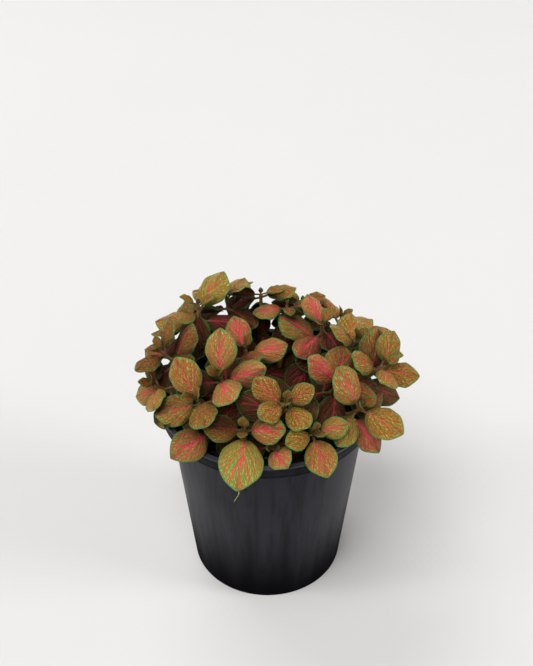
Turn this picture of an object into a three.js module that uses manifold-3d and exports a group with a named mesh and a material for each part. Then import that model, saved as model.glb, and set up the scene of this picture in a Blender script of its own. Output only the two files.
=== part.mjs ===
// A potted nerve plant: a bushy clump of short creeping stems with round, net-veined leaves in
// opposite pairs, standing in potting mix in a black nursery pot. Millimetres, +Z up.
// The origin is the middle of the pot's underside, and -Y is the plant's front.

import * as THREE from "three";
import { mergeVertices } from "three/addons/utils/BufferGeometryUtils.js";
import Module from "manifold-3d";

const wasm = await Module();
wasm.setup();

// Pot
const POT_HEIGHT = 130;
const RIM_RADIUS = 65;
const RIM_BAND_HEIGHT = 8.5;
const RIM_LIP_WIDTH = 3;
const NECK_RADIUS = 59.5;
const BASE_RADIUS = 48.5;
const BASE_BEVEL = 2;
const WALL = 1.5;
const FLOOR_THICKNESS = 2;
const POT_SIDES = 48;
const RIM_BEVEL = 1;
const INNER_BEVEL = 2;
const DRAIN_HOLES = 8;
const DRAIN_HOLE_RADIUS = 3.5;
const DRAIN_HOLE_SIDES = 12;
const DRAIN_RING_RADIUS = 36;

// Potting mix
const SOIL_DEPTH_BELOW_RIM = 13;
const SOIL_GAP = 0.3;
const SOIL_BUMP = 1.2;
const SOIL_WAVE_X = 20;
const SOIL_WAVE_Y = 23;
const SOIL_RINGS = 4;
const SOIL_SIDES = 24;

// Stems
const STEM_RADIUS = 1.2;
const STEM_SIDES = 5;
const STEM_STEPS = 7;
const STEM_BURIED = 12;
const HOLE_GAP = 0.35;
const ROOT_SPREAD = 0.56;
const STEM_RISE = 26;
const TIP_RUN = 16;
const INTERNODES = [1.2, 2.2, 3.4, 5.5, 9, 11];

// Leaves
const LEAF_HALF_WIDTH = 0.405;
const LEAF_THICKNESS = 1.3;
const PETIOLE_HALF_WIDTH = 0.85;
const PETIOLE_SHORTEST = 2;
const PETIOLE_SHARE = 0.13;
const LEAF_LIFT = [62, 36, 16, 2, -8, -14];
const LEAF_BEND = [0.05, 0.12, 0.18, 0.22, 0.25, 0.25];
const LEAF_FOLD = [0.3, 0.16, 0.06, -0.04, -0.08, -0.08];
const LIGHT_SHARE = [0.4, 0.6, 0.8, 0.85, 0.85, 0.85];
const CROWN_Y = 56;
const FRONT_TILT = 0.62;
const BACK_TILT = 1.1;
const SIDE_TILT = 0.4;
const WIDEST_AT = 0.98;
const ROUNDNESS = 0.52;
const BLADE_STATIONS = [0.09, 0.32, 0.62, 0.88];
const LOW_BLADE_STATIONS = [0.12, 0.45, 0.84];
const BUD_BLADE_STATIONS = [0.2, 0.65];
const STATIONS_BY_RANK = [
  BUD_BLADE_STATIONS,
  BLADE_STATIONS,
  BLADE_STATIONS,
  LOW_BLADE_STATIONS,
  LOW_BLADE_STATIONS,
  LOW_BLADE_STATIONS,
];

// How far leaves keep from each other, from stems, from the pot and from the soil
const LEAF_CLEARANCE = 1.35;
const SIBLING_CLEARANCE = 0.9;
const STEM_CLEARANCE = 2.1;
const POT_CLEARANCE = 1.3;
const SOIL_CLEARANCE = 2.6;
const EDGE_MARGIN = 1;
const OWN_STEM_MARGIN = 3;

// Each leafy stem: where its growing tip stands, in millimetres from the pot's axis and above its rim,
// how far the tip leans outwards, and its leaf pairs from the youngest down. A pair is the compass turn
// of one leaf and the pair's length, then how much more than usual it lifts, how far its second leaf is
// twisted from straight opposite, and that leaf's length as a share of the first's.
const SHOOTS = [
  { tip: [10, -40, 27], lean: 20, pairs: [[85, 7], [40, 16], [133, 19], [0, 22], [97, 24], [45, 23]] },
  { tip: [53, -33, 18], lean: 28, pairs: [[35, 8], [145, 25, -8], [50, 20, 0, 20], [135, 24]] },
  { tip: [27, -49, 13], lean: 35, pairs: [[120, 7], [205, 16, -8], [105, 22, -10], [50, 20, -6]] },
  { tip: [-13, -47, 13], lean: 35, pairs: [[80, 8], [178, 21], [277, 30, 0, 0, 0.8], [10, 20]] },
  { tip: [-40, -29, 20], lean: 30, pairs: [[20, 9], [105, 23], [190, 22], [120, 22], [30, 22]] },
  { tip: [-33, -41, 6], lean: 50, pairs: [[140, 8], [225, 24], [320, 19], [220, 22]] },
  {
    tip: [-41, 31, 43],
    lean: -15,
    pairs: [[0, 10, -30], [255, 21, -80], [45, 25, 12, 0, 0.5], [350, 22], [80, 22]],
  },
  { tip: [-63, 10, 24], lean: 45, pairs: [[60, 8], [225, 19], [140, 20], [50, 22], [140, 24]] },
  { tip: [68, -3, 24], lean: 40, pairs: [[20, 8], [95, 18], [174, 20, 20], [95, 22], [10, 22]] },
  { tip: [53, 18, 27], lean: 30, pairs: [[30, 8], [195, 20], [275, 22], [190, 24], [280, 25]] },
  { tip: [33, 27, 31], lean: 0, pairs: [[60, 9, -20], [115, 20, -6], [235, 22, -10], [150, 24], [250, 24]] },
  {
    tip: [12, 45, 33],
    lean: -10,
    pairs: [[100, 10, -45], [10, 18, -30], [275, 21, -62], [0, 22], [280, 22, -10]],
  },
  {
    tip: [-4, 50, 38],
    lean: -10,
    pairs: [[10, 12, -55], [190, 18, -30], [262, 18, -62], [175, 22], [85, 22]],
  },
  { tip: [-27, -17, 27], lean: 20, pairs: [[170, 8], [85, 23, 0, 20], [5, 22], [90, 23], [0, 23]] },
  { tip: [41, -20, 26], lean: 20, pairs: [[10, 8], [155, 20], [88, 23], [10, 22], [90, 24]] },
  { tip: [-13, 11, 25], lean: 5, pairs: [[50, 8], [110, 18], [15, 21], [100, 23], [20, 23]] },
  { tip: [-50, 42, 21], lean: 40, pairs: [[80, 8], [10, 19, -10], [100, 22], [0, 23]] },
  {
    tip: [-26, 56, 36],
    lean: 0,
    pairs: [[350, 13, -60], [150, 20, -30], [60, 21, -30], [150, 23], [60, 22]],
  },
  { tip: [22, 57, 27], lean: 10, pairs: [[20, 12, -50], [130, 20, -20], [40, 22], [130, 23], [40, 22]] },
  { tip: [46, 49, 19], lean: 40, pairs: [[20, 8], [120, 20, -20], [30, 23], [120, 23], [60, 22]] },
  { tip: [63, 30, 14], lean: 45, pairs: [[80, 8], [170, 19, -10], [80, 22], [170, 23], [50, 23]] },
  { tip: [-66, -8, 13], lean: 50, pairs: [[0, 8], [90, 18], [0, 18, -15], [90, 22]] },
  { tip: [3, -52, 4], lean: 45, pairs: [[10, 6], [300, 18, -8], [20, 17], [290, 20]] },
];

const RANDOM_SEED = 11;
const TURN_JITTER = 10;
const LIFT_JITTER = 10;
const ROLL_JITTER = 22;
const LENGTH_JITTER = 0.12;
const DEG = Math.PI / 180;
const RIM_TOP = POT_HEIGHT;
const SOIL_TOP = POT_HEIGHT - SOIL_DEPTH_BELOW_RIM;

// A seeded draw from 0 to 1 that gives the same numbers everywhere.
function makeRandom(seed) {
  let state = seed;
  return () => {
    state = (state * 1664525 + 1013904223) % 4294967296;
    return state / 4294967296;
  };
}

// The pot's outer and inner radius at a height, without the rim band.
function wallRadius(z) {
  const share = (z - BASE_BEVEL) / (POT_HEIGHT - RIM_BAND_HEIGHT - BASE_BEVEL);
  return BASE_RADIUS + (NECK_RADIUS - BASE_RADIUS) * Math.max(0, Math.min(1, share));
}

function innerRadius(z) {
  return wallRadius(z) - WALL;
}

// Closed geometry to a solid, and back to a mesh.
function solidOf(geometry) {
  const bare = geometry.clone();
  bare.deleteAttribute("normal");
  bare.deleteAttribute("uv");
  const merged = mergeVertices(bare, 1e-4);
  return new wasm.Manifold(
    new wasm.Mesh({
      numProp: 3,
      vertProperties: new Float32Array(merged.attributes.position.array),
      triVerts: new Uint32Array(merged.index.array),
    }),
  );
}

function meshOf(solid, name, material) {
  const found = solid.getMesh();
  const geometry = new THREE.BufferGeometry();
  geometry.setAttribute("position", new THREE.BufferAttribute(found.vertProperties, 3));
  geometry.setIndex(new THREE.BufferAttribute(found.triVerts, 1));
  geometry.computeVertexNormals();
  const mesh = new THREE.Mesh(geometry, material);
  mesh.name = name;
  return mesh;
}

// The stem of a shoot: a curve from under the soil, straight up at first and then out to its tip.
function stemOf(shoot) {
  const [x, y, aboveRim] = shoot.tip;
  const outward = Math.atan2(y, x);
  const lean = shoot.lean * DEG;
  const tip = new THREE.Vector3(x, y, RIM_TOP + aboveRim);
  const axis = new THREE.Vector3(
    Math.sin(lean) * Math.cos(outward),
    Math.sin(lean) * Math.sin(outward),
    Math.cos(lean),
  );
  const root = new THREE.Vector3(x * ROOT_SPREAD, y * ROOT_SPREAD, SOIL_TOP - STEM_BURIED);
  return new THREE.CubicBezierCurve3(
    root,
    root.clone().add(new THREE.Vector3(0, 0, STEM_RISE)),
    tip.clone().addScaledVector(axis, -TIP_RUN),
    tip,
  );
}

const STEM_SAMPLES = 64;

// Points along a stem with their distance from its tip.
function stemPoints(curve) {
  const points = [];
  let run = 0;
  for (let i = STEM_SAMPLES; i >= 0; i--) {
    const at = curve.getPoint(i / STEM_SAMPLES);
    if (points.length) run += at.distanceTo(points[points.length - 1].at);
    points.push({ at, run });
  }
  return points;
}

// The place on a stem at a distance from its tip, with the stem's upward direction there.
function placeOnStem(points, run) {
  let i = 1;
  while (i < points.length - 1 && points[i].run < run) i++;
  const [near, far] = [points[i - 1], points[i]];
  const share = (run - near.run) / (far.run - near.run);
  return {
    at: near.at.clone().lerp(far.at, share),
    axis: near.at.clone().sub(far.at).normalize(),
  };
}

// A leaf's half width and its surface's height, in its own frame: x along the midrib, y across, z up.
function outline(share) {
  if (share <= 0 || share >= 1) return 0;
  return Math.pow(Math.sin(Math.PI * Math.pow(share, WIDEST_AT)), ROUNDNESS);
}

function surfaceHeight(leaf, x, y) {
  const bent = x > 0 ? (-leaf.bend * x * x) / leaf.length : 0;
  return bent + leaf.fold * Math.abs(y);
}

function leafPoint(leaf, x, y, lift = 0) {
  return leaf.base
    .clone()
    .addScaledVector(leaf.along, x)
    .addScaledVector(leaf.across, y)
    .addScaledVector(leaf.up, surfaceHeight(leaf, x, y) + lift);
}

// Where leaves at a place turn their faces: up, and away from the crown's highest point.
function lightAt(at) {
  const behind = at.y - CROWN_Y;
  return new THREE.Vector3(
    (SIDE_TILT * at.x) / RIM_RADIUS,
    ((behind > 0 ? BACK_TILT : FRONT_TILT) * behind) / RIM_RADIUS,
    1,
  ).normalize();
}

// A leaf on a stem, at a compass turn round it and a lift above the plane that it faces from.
function makeLeaf(place, turn, lift, roll, length, rank) {
  const facing = place.axis.clone().lerp(lightAt(place.at), LIGHT_SHARE[rank]).normalize();
  const compass = new THREE.Vector3(Math.cos(turn * DEG), Math.sin(turn * DEG), 0);
  const radial = compass.addScaledVector(facing, -compass.dot(facing)).normalize();
  const along = radial
    .clone()
    .multiplyScalar(Math.cos(lift * DEG))
    .addScaledVector(facing, Math.sin(lift * DEG));
  const flatUp = radial
    .clone()
    .multiplyScalar(-Math.sin(lift * DEG))
    .addScaledVector(facing, Math.cos(lift * DEG));
  const side = new THREE.Vector3().crossVectors(flatUp, along);
  const up = flatUp.clone().multiplyScalar(Math.cos(roll * DEG)).addScaledVector(side, Math.sin(roll * DEG));
  const across = new THREE.Vector3().crossVectors(up, along);
  const reach = PETIOLE_SHORTEST + PETIOLE_SHARE * length;
  const base = place.at.clone().addScaledVector(along, reach);
  return {
    base,
    along,
    across,
    up,
    reach,
    length,
    half: length * LEAF_HALF_WIDTH,
    bend: LEAF_BEND[rank],
    fold: LEAF_FOLD[rank],
    middle: base.clone().addScaledVector(along, length / 2),
  };
}

const PROBE_SHARES = [0.05, 0.2, 0.36, 0.52, 0.68, 0.84, 0.98];
const PROBE_SIDES = [-0.96, -0.5, 0, 0.5, 0.96];
const STALK_PROBES = [0.2, 0.55];

// Points all over a leaf and its stalk, to test it with.
function probesOf(leaf) {
  const probes = [];
  for (const share of PROBE_SHARES)
    for (const side of PROBE_SIDES)
      probes.push(leafPoint(leaf, share * leaf.length, side * leaf.half * outline(share)));
  for (const share of STALK_PROBES) probes.push(leafPoint(leaf, -share * leaf.reach, 0));
  return probes;
}

// True where every point that lies over or under the blade is on one side of it, and far enough.
function clearOfBlade(points, leaf, clearance) {
  let above = false;
  let below = false;
  for (const point of points) {
    const from = point.clone().sub(leaf.base);
    const x = from.dot(leaf.along);
    if (x < -EDGE_MARGIN || x > leaf.length + EDGE_MARGIN) continue;
    const y = from.dot(leaf.across);
    if (Math.abs(y) > leaf.half * outline(x / leaf.length) + EDGE_MARGIN) continue;
    const gap = from.dot(leaf.up) - surfaceHeight(leaf, x, y);
    if (Math.abs(gap) < clearance) return false;
    if (gap > 0) above = true;
    else below = true;
  }
  return !(above && below);
}

// True where every point is above the rim, outside the pot or inside it and above the soil.
function clearOfPot(points) {
  for (const point of points) {
    const radius = Math.hypot(point.x, point.y);
    if (radius < innerRadius(RIM_TOP) - POT_CLEARANCE) {
      if (point.z < SOIL_TOP + SOIL_CLEARANCE) return false;
    } else if (radius < RIM_RADIUS + POT_CLEARANCE) {
      if (point.z < RIM_TOP + POT_CLEARANCE) return false;
    }
  }
  return true;
}

const TRIED_SIZES = [1, 0.88, 0.76];
const TRIED_SWINGS = [0, 9, -9, 18, -18, 28, -28];
const TRIED_LIFTS = [0, 6, -6, 12, -12, 19, -19, 27, -27, 36];

// Grows every leaf: the youngest pairs first, each leaf swung, tilted or made smaller until it is clear.
function growLeaves(shoots) {
  const random = makeRandom(RANDOM_SEED);
  const wanted = [];
  shoots.forEach((shoot, owner) => {
    let run = 0;
    shoot.pairs.forEach(([turn, length, lift = 0, twist = 0, share = 1], rank) => {
      run += INTERNODES[rank];
      for (const second of [0, 1])
        wanted.push({
          owner,
          rank,
          run,
          turn: turn + second * (180 + twist) + (random() - 0.5) * TURN_JITTER,
          lift: LEAF_LIFT[rank] + lift + (random() - 0.5) * LIFT_JITTER,
          roll: (random() - 0.5) * ROLL_JITTER,
          length: length * (second ? share : 1) * (1 + (random() - 0.5) * LENGTH_JITTER),
        });
    });
  });
  wanted.sort((a, b) => a.rank - b.rank || a.owner - b.owner);
  const grown = [];
  for (const wish of wanted) {
    const leaf = fitLeaf(wish, shoots, grown);
    if (leaf) grown.push(leaf);
  }
  return grown;
}

function fitLeaf(wish, shoots, grown) {
  const place = placeOnStem(shoots[wish.owner].points, wish.run);
  for (const size of TRIED_SIZES)
    for (const swing of TRIED_SWINGS)
      for (const lift of TRIED_LIFTS) {
        const leaf = makeLeaf(
          place,
          wish.turn + swing,
          wish.lift + lift,
          wish.roll,
          wish.length * size,
          wish.rank,
        );
        leaf.owner = wish.owner;
        leaf.rank = wish.rank;
        leaf.probes = probesOf(leaf);
        if (isClear(leaf, wish, shoots, grown)) return leaf;
      }
  return null;
}

function isClear(leaf, wish, shoots, grown) {
  if (!clearOfPot(leaf.probes)) return false;
  for (let i = 0; i < shoots.length; i++) {
    const stem = shoots[i].points
      .filter((p) => i !== wish.owner || Math.abs(p.run - wish.run) > leaf.reach + OWN_STEM_MARGIN)
      .map((p) => p.at);
    if (!clearOfBlade(stem, leaf, STEM_CLEARANCE)) return false;
  }
  for (const other of grown) {
    const farthest = (other.length + leaf.length) / 2 + other.reach + leaf.reach;
    if (other.middle.distanceTo(leaf.middle) > farthest) continue;
    const clearance = other.owner === leaf.owner ? SIBLING_CLEARANCE : LEAF_CLEARANCE;
    if (!clearOfBlade(leaf.probes, other, clearance)) return false;
    if (!clearOfBlade(other.probes, leaf, clearance)) return false;
  }
  return true;
}

// A leaf's solid: a stalk that widens into a blade, thick at the midrib and thin at its edge.
function leafSolid(leaf) {
  const stations = STATIONS_BY_RANK[leaf.rank];
  const rows = [
    { x: -leaf.reach, half: PETIOLE_HALF_WIDTH },
    { x: 0, half: PETIOLE_HALF_WIDTH },
    ...stations.map((share) => ({ x: share * leaf.length, half: leaf.half * outline(share) })),
  ];
  const corners = [];
  for (const { x, half } of rows)
    corners.push(
      leafPoint(leaf, x, half),
      leafPoint(leaf, x, 0, LEAF_THICKNESS / 2),
      leafPoint(leaf, x, -half),
      leafPoint(leaf, x, 0, -LEAF_THICKNESS / 2),
    );
  corners.push(leafPoint(leaf, leaf.length, 0));
  const faces = [0, 2, 1, 0, 3, 2];
  for (let row = 0; row + 1 < rows.length; row++)
    for (let side = 0; side < 4; side++) {
      const a = row * 4 + side;
      const b = row * 4 + ((side + 1) % 4);
      const [c, d] = [a + 4, b + 4];
      if (side % 2) faces.push(a, b, c, b, d, c);
      else faces.push(a, d, c, a, b, d);
    }
  const last = (rows.length - 1) * 4;
  const tip = corners.length - 1;
  for (let side = 0; side < 4; side++) faces.push(last + side, last + ((side + 1) % 4), tip);
  const geometry = new THREE.BufferGeometry().setFromPoints(corners);
  geometry.setIndex(faces);
  return solidOf(geometry);
}

function stemSolid(curve, radius) {
  const section = new THREE.Shape();
  for (let i = 0; i < STEM_SIDES; i++) {
    const angle = (i / STEM_SIDES) * 2 * Math.PI;
    if (i) section.lineTo(radius * Math.cos(angle), radius * Math.sin(angle));
    else section.moveTo(radius, 0);
  }
  const geometry = new THREE.ExtrudeGeometry(section, { steps: STEM_STEPS, extrudePath: curve });
  return solidOf(geometry);
}

// The pot: a thin tapered wall with a rim band, a floor and a ring of drain holes.
function potSolid() {
  const band = POT_HEIGHT - RIM_BAND_HEIGHT;
  const profile = [
    [0, 0],
    [BASE_RADIUS - BASE_BEVEL, 0],
    [BASE_RADIUS, BASE_BEVEL],
    [NECK_RADIUS, band],
    [RIM_RADIUS - RIM_BEVEL, band],
    [RIM_RADIUS, POT_HEIGHT - RIM_BEVEL],
    [RIM_RADIUS - RIM_BEVEL, POT_HEIGHT],
    [RIM_RADIUS - RIM_LIP_WIDTH, POT_HEIGHT],
    [innerRadius(band), band],
    [innerRadius(FLOOR_THICKNESS + INNER_BEVEL), FLOOR_THICKNESS + INNER_BEVEL],
    [innerRadius(FLOOR_THICKNESS) - INNER_BEVEL, FLOOR_THICKNESS],
    [0, FLOOR_THICKNESS],
  ];
  let pot = solidOf(uprightLathe(profile, POT_SIDES));
  for (let i = 0; i < DRAIN_HOLES; i++) {
    const angle = (i / DRAIN_HOLES) * 2 * Math.PI;
    const hole = new THREE.CylinderGeometry(
      DRAIN_HOLE_RADIUS,
      DRAIN_HOLE_RADIUS,
      FLOOR_THICKNESS * 4,
      DRAIN_HOLE_SIDES,
    );
    hole.rotateX(Math.PI / 2);
    hole.translate(DRAIN_RING_RADIUS * Math.cos(angle), DRAIN_RING_RADIUS * Math.sin(angle), 0);
    pot = pot.subtract(solidOf(hole));
  }
  return pot;
}

// LatheGeometry turns about Y, so its result is stood up to turn about Z.
function uprightLathe(profile, sides) {
  const points = profile.map(([radius, z]) => new THREE.Vector2(radius, z));
  return new THREE.LatheGeometry(points, sides).rotateX(Math.PI / 2);
}

// The potting mix: fills the pot, has a lumpy top, and has a plain hole for each stem.
function soilSolid(curves) {
  const bottom = FLOOR_THICKNESS + SOIL_GAP;
  const profile = [
    [0, bottom],
    [innerRadius(bottom) - INNER_BEVEL - SOIL_GAP, bottom],
    [innerRadius(bottom + INNER_BEVEL) - SOIL_GAP, bottom + INNER_BEVEL],
    [innerRadius(SOIL_TOP) - SOIL_GAP, SOIL_TOP - SOIL_BUMP],
  ];
  for (let ring = SOIL_RINGS - 1; ring >= 0; ring--)
    profile.push([((innerRadius(SOIL_TOP) - SOIL_GAP) * ring) / SOIL_RINGS, SOIL_TOP]);
  const geometry = uprightLathe(profile, SOIL_SIDES);
  const at = geometry.attributes.position;
  for (let i = 0; i < at.count; i++) {
    if (at.getZ(i) < SOIL_TOP - SOIL_BUMP / 2) continue;
    const [x, y] = [at.getX(i), at.getY(i)];
    const wave = Math.sin(1 + (x * 2 * Math.PI) / SOIL_WAVE_X) * Math.cos((y * 2 * Math.PI) / SOIL_WAVE_Y);
    at.setZ(i, SOIL_TOP + SOIL_BUMP * wave);
  }
  let soil = solidOf(geometry);
  for (const curve of curves) soil = soil.subtract(stemSolid(curve, STEM_RADIUS + HOLE_GAP));
  return soil;
}

const potPlastic = new THREE.MeshStandardMaterial({ color: 0x26262a, roughness: 0.45, metalness: 0 });
const pottingMix = new THREE.MeshStandardMaterial({ color: 0x1d140e, roughness: 1, metalness: 0 });
const leafGreen = new THREE.MeshStandardMaterial({ color: 0x8a5a34, roughness: 0.6, metalness: 0 });

const shoots = SHOOTS.map((shoot) => {
  const curve = stemOf(shoot);
  return { ...shoot, curve, points: stemPoints(curve) };
});
const leaves = growLeaves(shoots);

const plant = new THREE.Group();
plant.name = "potted_nerve_plant";
plant.add(meshOf(potSolid(), "pot", potPlastic));
plant.add(meshOf(soilSolid(shoots.map((shoot) => shoot.curve)), "potting_mix", pottingMix));
shoots.forEach((shoot, owner) => {
  let solid = stemSolid(shoot.curve, STEM_RADIUS);
  for (const leaf of leaves) if (leaf.owner === owner) solid = solid.add(leafSolid(leaf));
  plant.add(meshOf(solid, `leafy_stem_${String(owner + 1).padStart(2, "0")}`, leafGreen));
});

export default plant;
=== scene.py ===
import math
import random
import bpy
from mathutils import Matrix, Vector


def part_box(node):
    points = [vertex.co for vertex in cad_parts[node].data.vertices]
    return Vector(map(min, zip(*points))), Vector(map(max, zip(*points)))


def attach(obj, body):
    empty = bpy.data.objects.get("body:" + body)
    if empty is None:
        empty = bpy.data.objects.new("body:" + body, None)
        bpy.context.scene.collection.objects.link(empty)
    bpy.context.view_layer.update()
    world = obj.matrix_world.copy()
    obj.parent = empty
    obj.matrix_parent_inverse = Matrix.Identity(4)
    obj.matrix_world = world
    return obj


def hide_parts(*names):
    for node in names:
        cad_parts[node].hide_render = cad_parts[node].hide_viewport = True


bl_info = {
    "name": "Potted nerve plant",
    "version": (1, 0, 0),
    "blender": (4, 5, 0),
    "location": "View3D > Sidebar > Nerve plant",
    "description": "Models a potted nerve plant in detail: its pot, potting mix and net-veined foliage",
    "category": "Add Mesh",
}

from contextlib import contextmanager
from functools import cache
from types import SimpleNamespace

import bpy
import numpy as np
from mathutils import Vector
from mathutils.bvhtree import BVHTree

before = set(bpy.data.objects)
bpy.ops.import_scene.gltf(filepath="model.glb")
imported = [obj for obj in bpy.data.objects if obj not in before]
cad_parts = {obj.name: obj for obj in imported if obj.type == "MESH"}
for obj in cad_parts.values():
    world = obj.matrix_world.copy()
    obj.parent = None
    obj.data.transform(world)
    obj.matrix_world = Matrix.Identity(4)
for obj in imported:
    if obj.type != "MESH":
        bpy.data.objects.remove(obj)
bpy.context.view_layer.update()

MM = 0.001
BODY = "root"

# The growth rule that the solids grew by, in millimetres from the middle of the pot's underside
RIM_TOP = 130
SOIL_TOP = 117
RIM_RADIUS = 65
INNER_RADIUS_AT_RIM = 58
STEM_BURIED = 12
ROOT_SPREAD = 0.56
STEM_RISE = 26
TIP_RUN = 16
STEM_SAMPLES = 64
INTERNODES = [1.2, 2.2, 3.4, 5.5, 9, 11]
LEAF_HALF_WIDTH = 0.405
PETIOLE_SHORTEST = 2
PETIOLE_SHARE = 0.13
LEAF_LIFT = [62, 36, 16, 2, -8, -14]
LEAF_BEND = [0.05, 0.12, 0.18, 0.22, 0.25, 0.25]
LEAF_FOLD = [0.3, 0.16, 0.06, -0.04, -0.08, -0.08]
LIGHT_SHARE = [0.4, 0.6, 0.8, 0.85, 0.85, 0.85]
CROWN_Y = 56
FRONT_TILT = 0.62
BACK_TILT = 1.1
SIDE_TILT = 0.4
WIDEST_AT = 0.98
ROUNDNESS = 0.52
LEAF_CLEARANCE = 1.35
SIBLING_CLEARANCE = 0.9
STEM_CLEARANCE = 2.1
POT_CLEARANCE = 1.3
SOIL_CLEARANCE = 2.6
EDGE_MARGIN = 1
OWN_STEM_MARGIN = 3
FAR_AWAY = 10
RANDOM_SEED = 11
DRAW_FACTOR = 1664525
DRAW_STEP = 1013904223
DRAW_RANGE = 2**32
TURN_JITTER = 10
LIFT_JITTER = 10
ROLL_JITTER = 22
LENGTH_JITTER = 0.12
PROBE_SHARES = [0.05, 0.2, 0.36, 0.52, 0.68, 0.84, 0.98]
PROBE_SIDES = [-0.96, -0.5, 0, 0.5, 0.96]
STALK_PROBES = [0.2, 0.55]
TRIED_SIZES = [1, 0.88, 0.76]
TRIED_SWINGS = [0, 9, -9, 18, -18, 28, -28]
TRIED_LIFTS = [0, 6, -6, 12, -12, 19, -19, 27, -27, 36]

# Each leafy stem: its tip from the pot's axis and above the rim, the tip's lean in degrees, and its leaf
# pairs from the youngest down. A pair is its compass turn and length, then its extra lift, its second
# leaf's twist from straight opposite, and that leaf's length as a share of the first's.
SHOOTS = [
    ((10, -40, 27), 20, [(85, 7), (40, 16), (133, 19), (0, 22), (97, 24), (45, 23)]),
    ((53, -33, 18), 28, [(35, 8), (145, 25, -8), (50, 20, 0, 20), (135, 24)]),
    ((27, -49, 13), 35, [(120, 7), (205, 16, -8), (105, 22, -10), (50, 20, -6)]),
    ((-13, -47, 13), 35, [(80, 8), (178, 21), (277, 30, 0, 0, 0.8), (10, 20)]),
    ((-40, -29, 20), 30, [(20, 9), (105, 23), (190, 22), (120, 22), (30, 22)]),
    ((-33, -41, 6), 50, [(140, 8), (225, 24), (320, 19), (220, 22)]),
    ((-41, 31, 43), -15, [(0, 10, -30), (255, 21, -80), (45, 25, 12, 0, 0.5), (350, 22), (80, 22)]),
    ((-63, 10, 24), 45, [(60, 8), (225, 19), (140, 20), (50, 22), (140, 24)]),
    ((68, -3, 24), 40, [(20, 8), (95, 18), (174, 20, 20), (95, 22), (10, 22)]),
    ((53, 18, 27), 30, [(30, 8), (195, 20), (275, 22), (190, 24), (280, 25)]),
    ((33, 27, 31), 0, [(60, 9, -20), (115, 20, -6), (235, 22, -10), (150, 24), (250, 24)]),
    ((12, 45, 33), -10, [(100, 10, -45), (10, 18, -30), (275, 21, -62), (0, 22), (280, 22, -10)]),
    ((-4, 50, 38), -10, [(10, 12, -55), (190, 18, -30), (262, 18, -62), (175, 22), (85, 22)]),
    ((-27, -17, 27), 20, [(170, 8), (85, 23, 0, 20), (5, 22), (90, 23), (0, 23)]),
    ((41, -20, 26), 20, [(10, 8), (155, 20), (88, 23), (10, 22), (90, 24)]),
    ((-13, 11, 25), 5, [(50, 8), (110, 18), (15, 21), (100, 23), (20, 23)]),
    ((-50, 42, 21), 40, [(80, 8), (10, 19, -10), (100, 22), (0, 23)]),
    ((-26, 56, 36), 0, [(350, 13, -60), (150, 20, -30), (60, 21, -30), (150, 23), (60, 22)]),
    ((22, 57, 27), 10, [(20, 12, -50), (130, 20, -20), (40, 22), (130, 23), (40, 22)]),
    ((46, 49, 19), 40, [(20, 8), (120, 20, -20), (30, 23), (120, 23), (60, 22)]),
    ((63, 30, 14), 45, [(80, 8), (170, 19, -10), (80, 22), (170, 23), (50, 23)]),
    ((-66, -8, 13), 50, [(0, 8), (90, 18), (0, 18, -15), (90, 22)]),
    ((3, -52, 4), 45, [(10, 6), (300, 18, -8), (20, 17), (290, 20)]),
]

# The extra lift, twist and length share of a pair that names none
PLAIN_PAIR = [0, 0, 1]


def seeded_draws(seed):
    """Draws from 0 to 1 that are the same everywhere."""
    state = seed
    while True:
        state = (state * DRAW_FACTOR + DRAW_STEP) % DRAW_RANGE
        yield state / DRAW_RANGE


def unit(vector):
    return vector / math.sqrt(vector @ vector)


def compass(degrees):
    return np.array([math.cos(math.radians(degrees)), math.sin(math.radians(degrees)), 0.0])


def bezier(share, root, rising, arriving, tip):
    """The point at a share of a stem's curve from its root."""
    rest = 1 - share
    return rest**3 * root + 3 * rest**2 * share * rising + 3 * rest * share**2 * arriving + share**3 * tip


def runs_along(points):
    """How far each point of a line is from its first one, measured along it."""
    lengths = np.sqrt(((points[1:] - points[:-1]) ** 2).sum(1))
    return np.concatenate([[0], np.cumsum(lengths)])


def stem_of(tip_place, lean):
    """A stem's points from its tip down, and how far along the stem each is from the tip."""
    x, y, above_rim = tip_place
    tip = np.array([x, y, RIM_TOP + above_rim], float)
    outward = math.hypot(x, y)
    axis = np.array(
        [
            math.sin(math.radians(lean)) * x / outward,
            math.sin(math.radians(lean)) * y / outward,
            math.cos(math.radians(lean)),
        ]
    )
    root = np.array([x * ROOT_SPREAD, y * ROOT_SPREAD, SOIL_TOP - STEM_BURIED], float)
    rising = root + np.array([0, 0, STEM_RISE])
    arriving = tip - TIP_RUN * axis
    steps = range(STEM_SAMPLES, -1, -1)
    points = np.array([bezier(i / STEM_SAMPLES, root, rising, arriving, tip) for i in steps])
    return SimpleNamespace(points=points, runs=runs_along(points))


def place_on_stem(stem, run):
    """The point on a stem at a distance from its tip, and the stem's upward direction there."""
    i = 1
    while i < len(stem.runs) - 1 and stem.runs[i] < run:
        i += 1
    near, far = stem.points[i - 1], stem.points[i]
    share = (run - stem.runs[i - 1]) / (stem.runs[i] - stem.runs[i - 1])
    return near + (far - near) * share, unit(near - far)


def outline(share):
    """A leaf's half width at a share of its length, as a share of the greatest half width."""
    inside = (share > 0) & (share < 1)
    held = np.where(inside, share, 0.5)
    return np.where(inside, np.sin(math.pi * held**WIDEST_AT) ** ROUNDNESS, 0)


def surface_height(leaf, x, y):
    """How high a leaf's middle surface is over its own plane: bent down along x, folded at the midrib."""
    return np.where(x > 0, -leaf.bend * x * x / leaf.length, 0) + leaf.fold * np.abs(y)


def leaf_points(leaf, x, y, lift=0):
    """Points over or under a leaf's middle surface, at places along it and across it."""
    height = np.broadcast_to(surface_height(leaf, x, y) + lift, x.shape)
    along = np.multiply.outer(x, leaf.along)
    across = np.multiply.outer(y, leaf.across)
    return leaf.base + along + across + np.multiply.outer(height, leaf.up)


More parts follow.
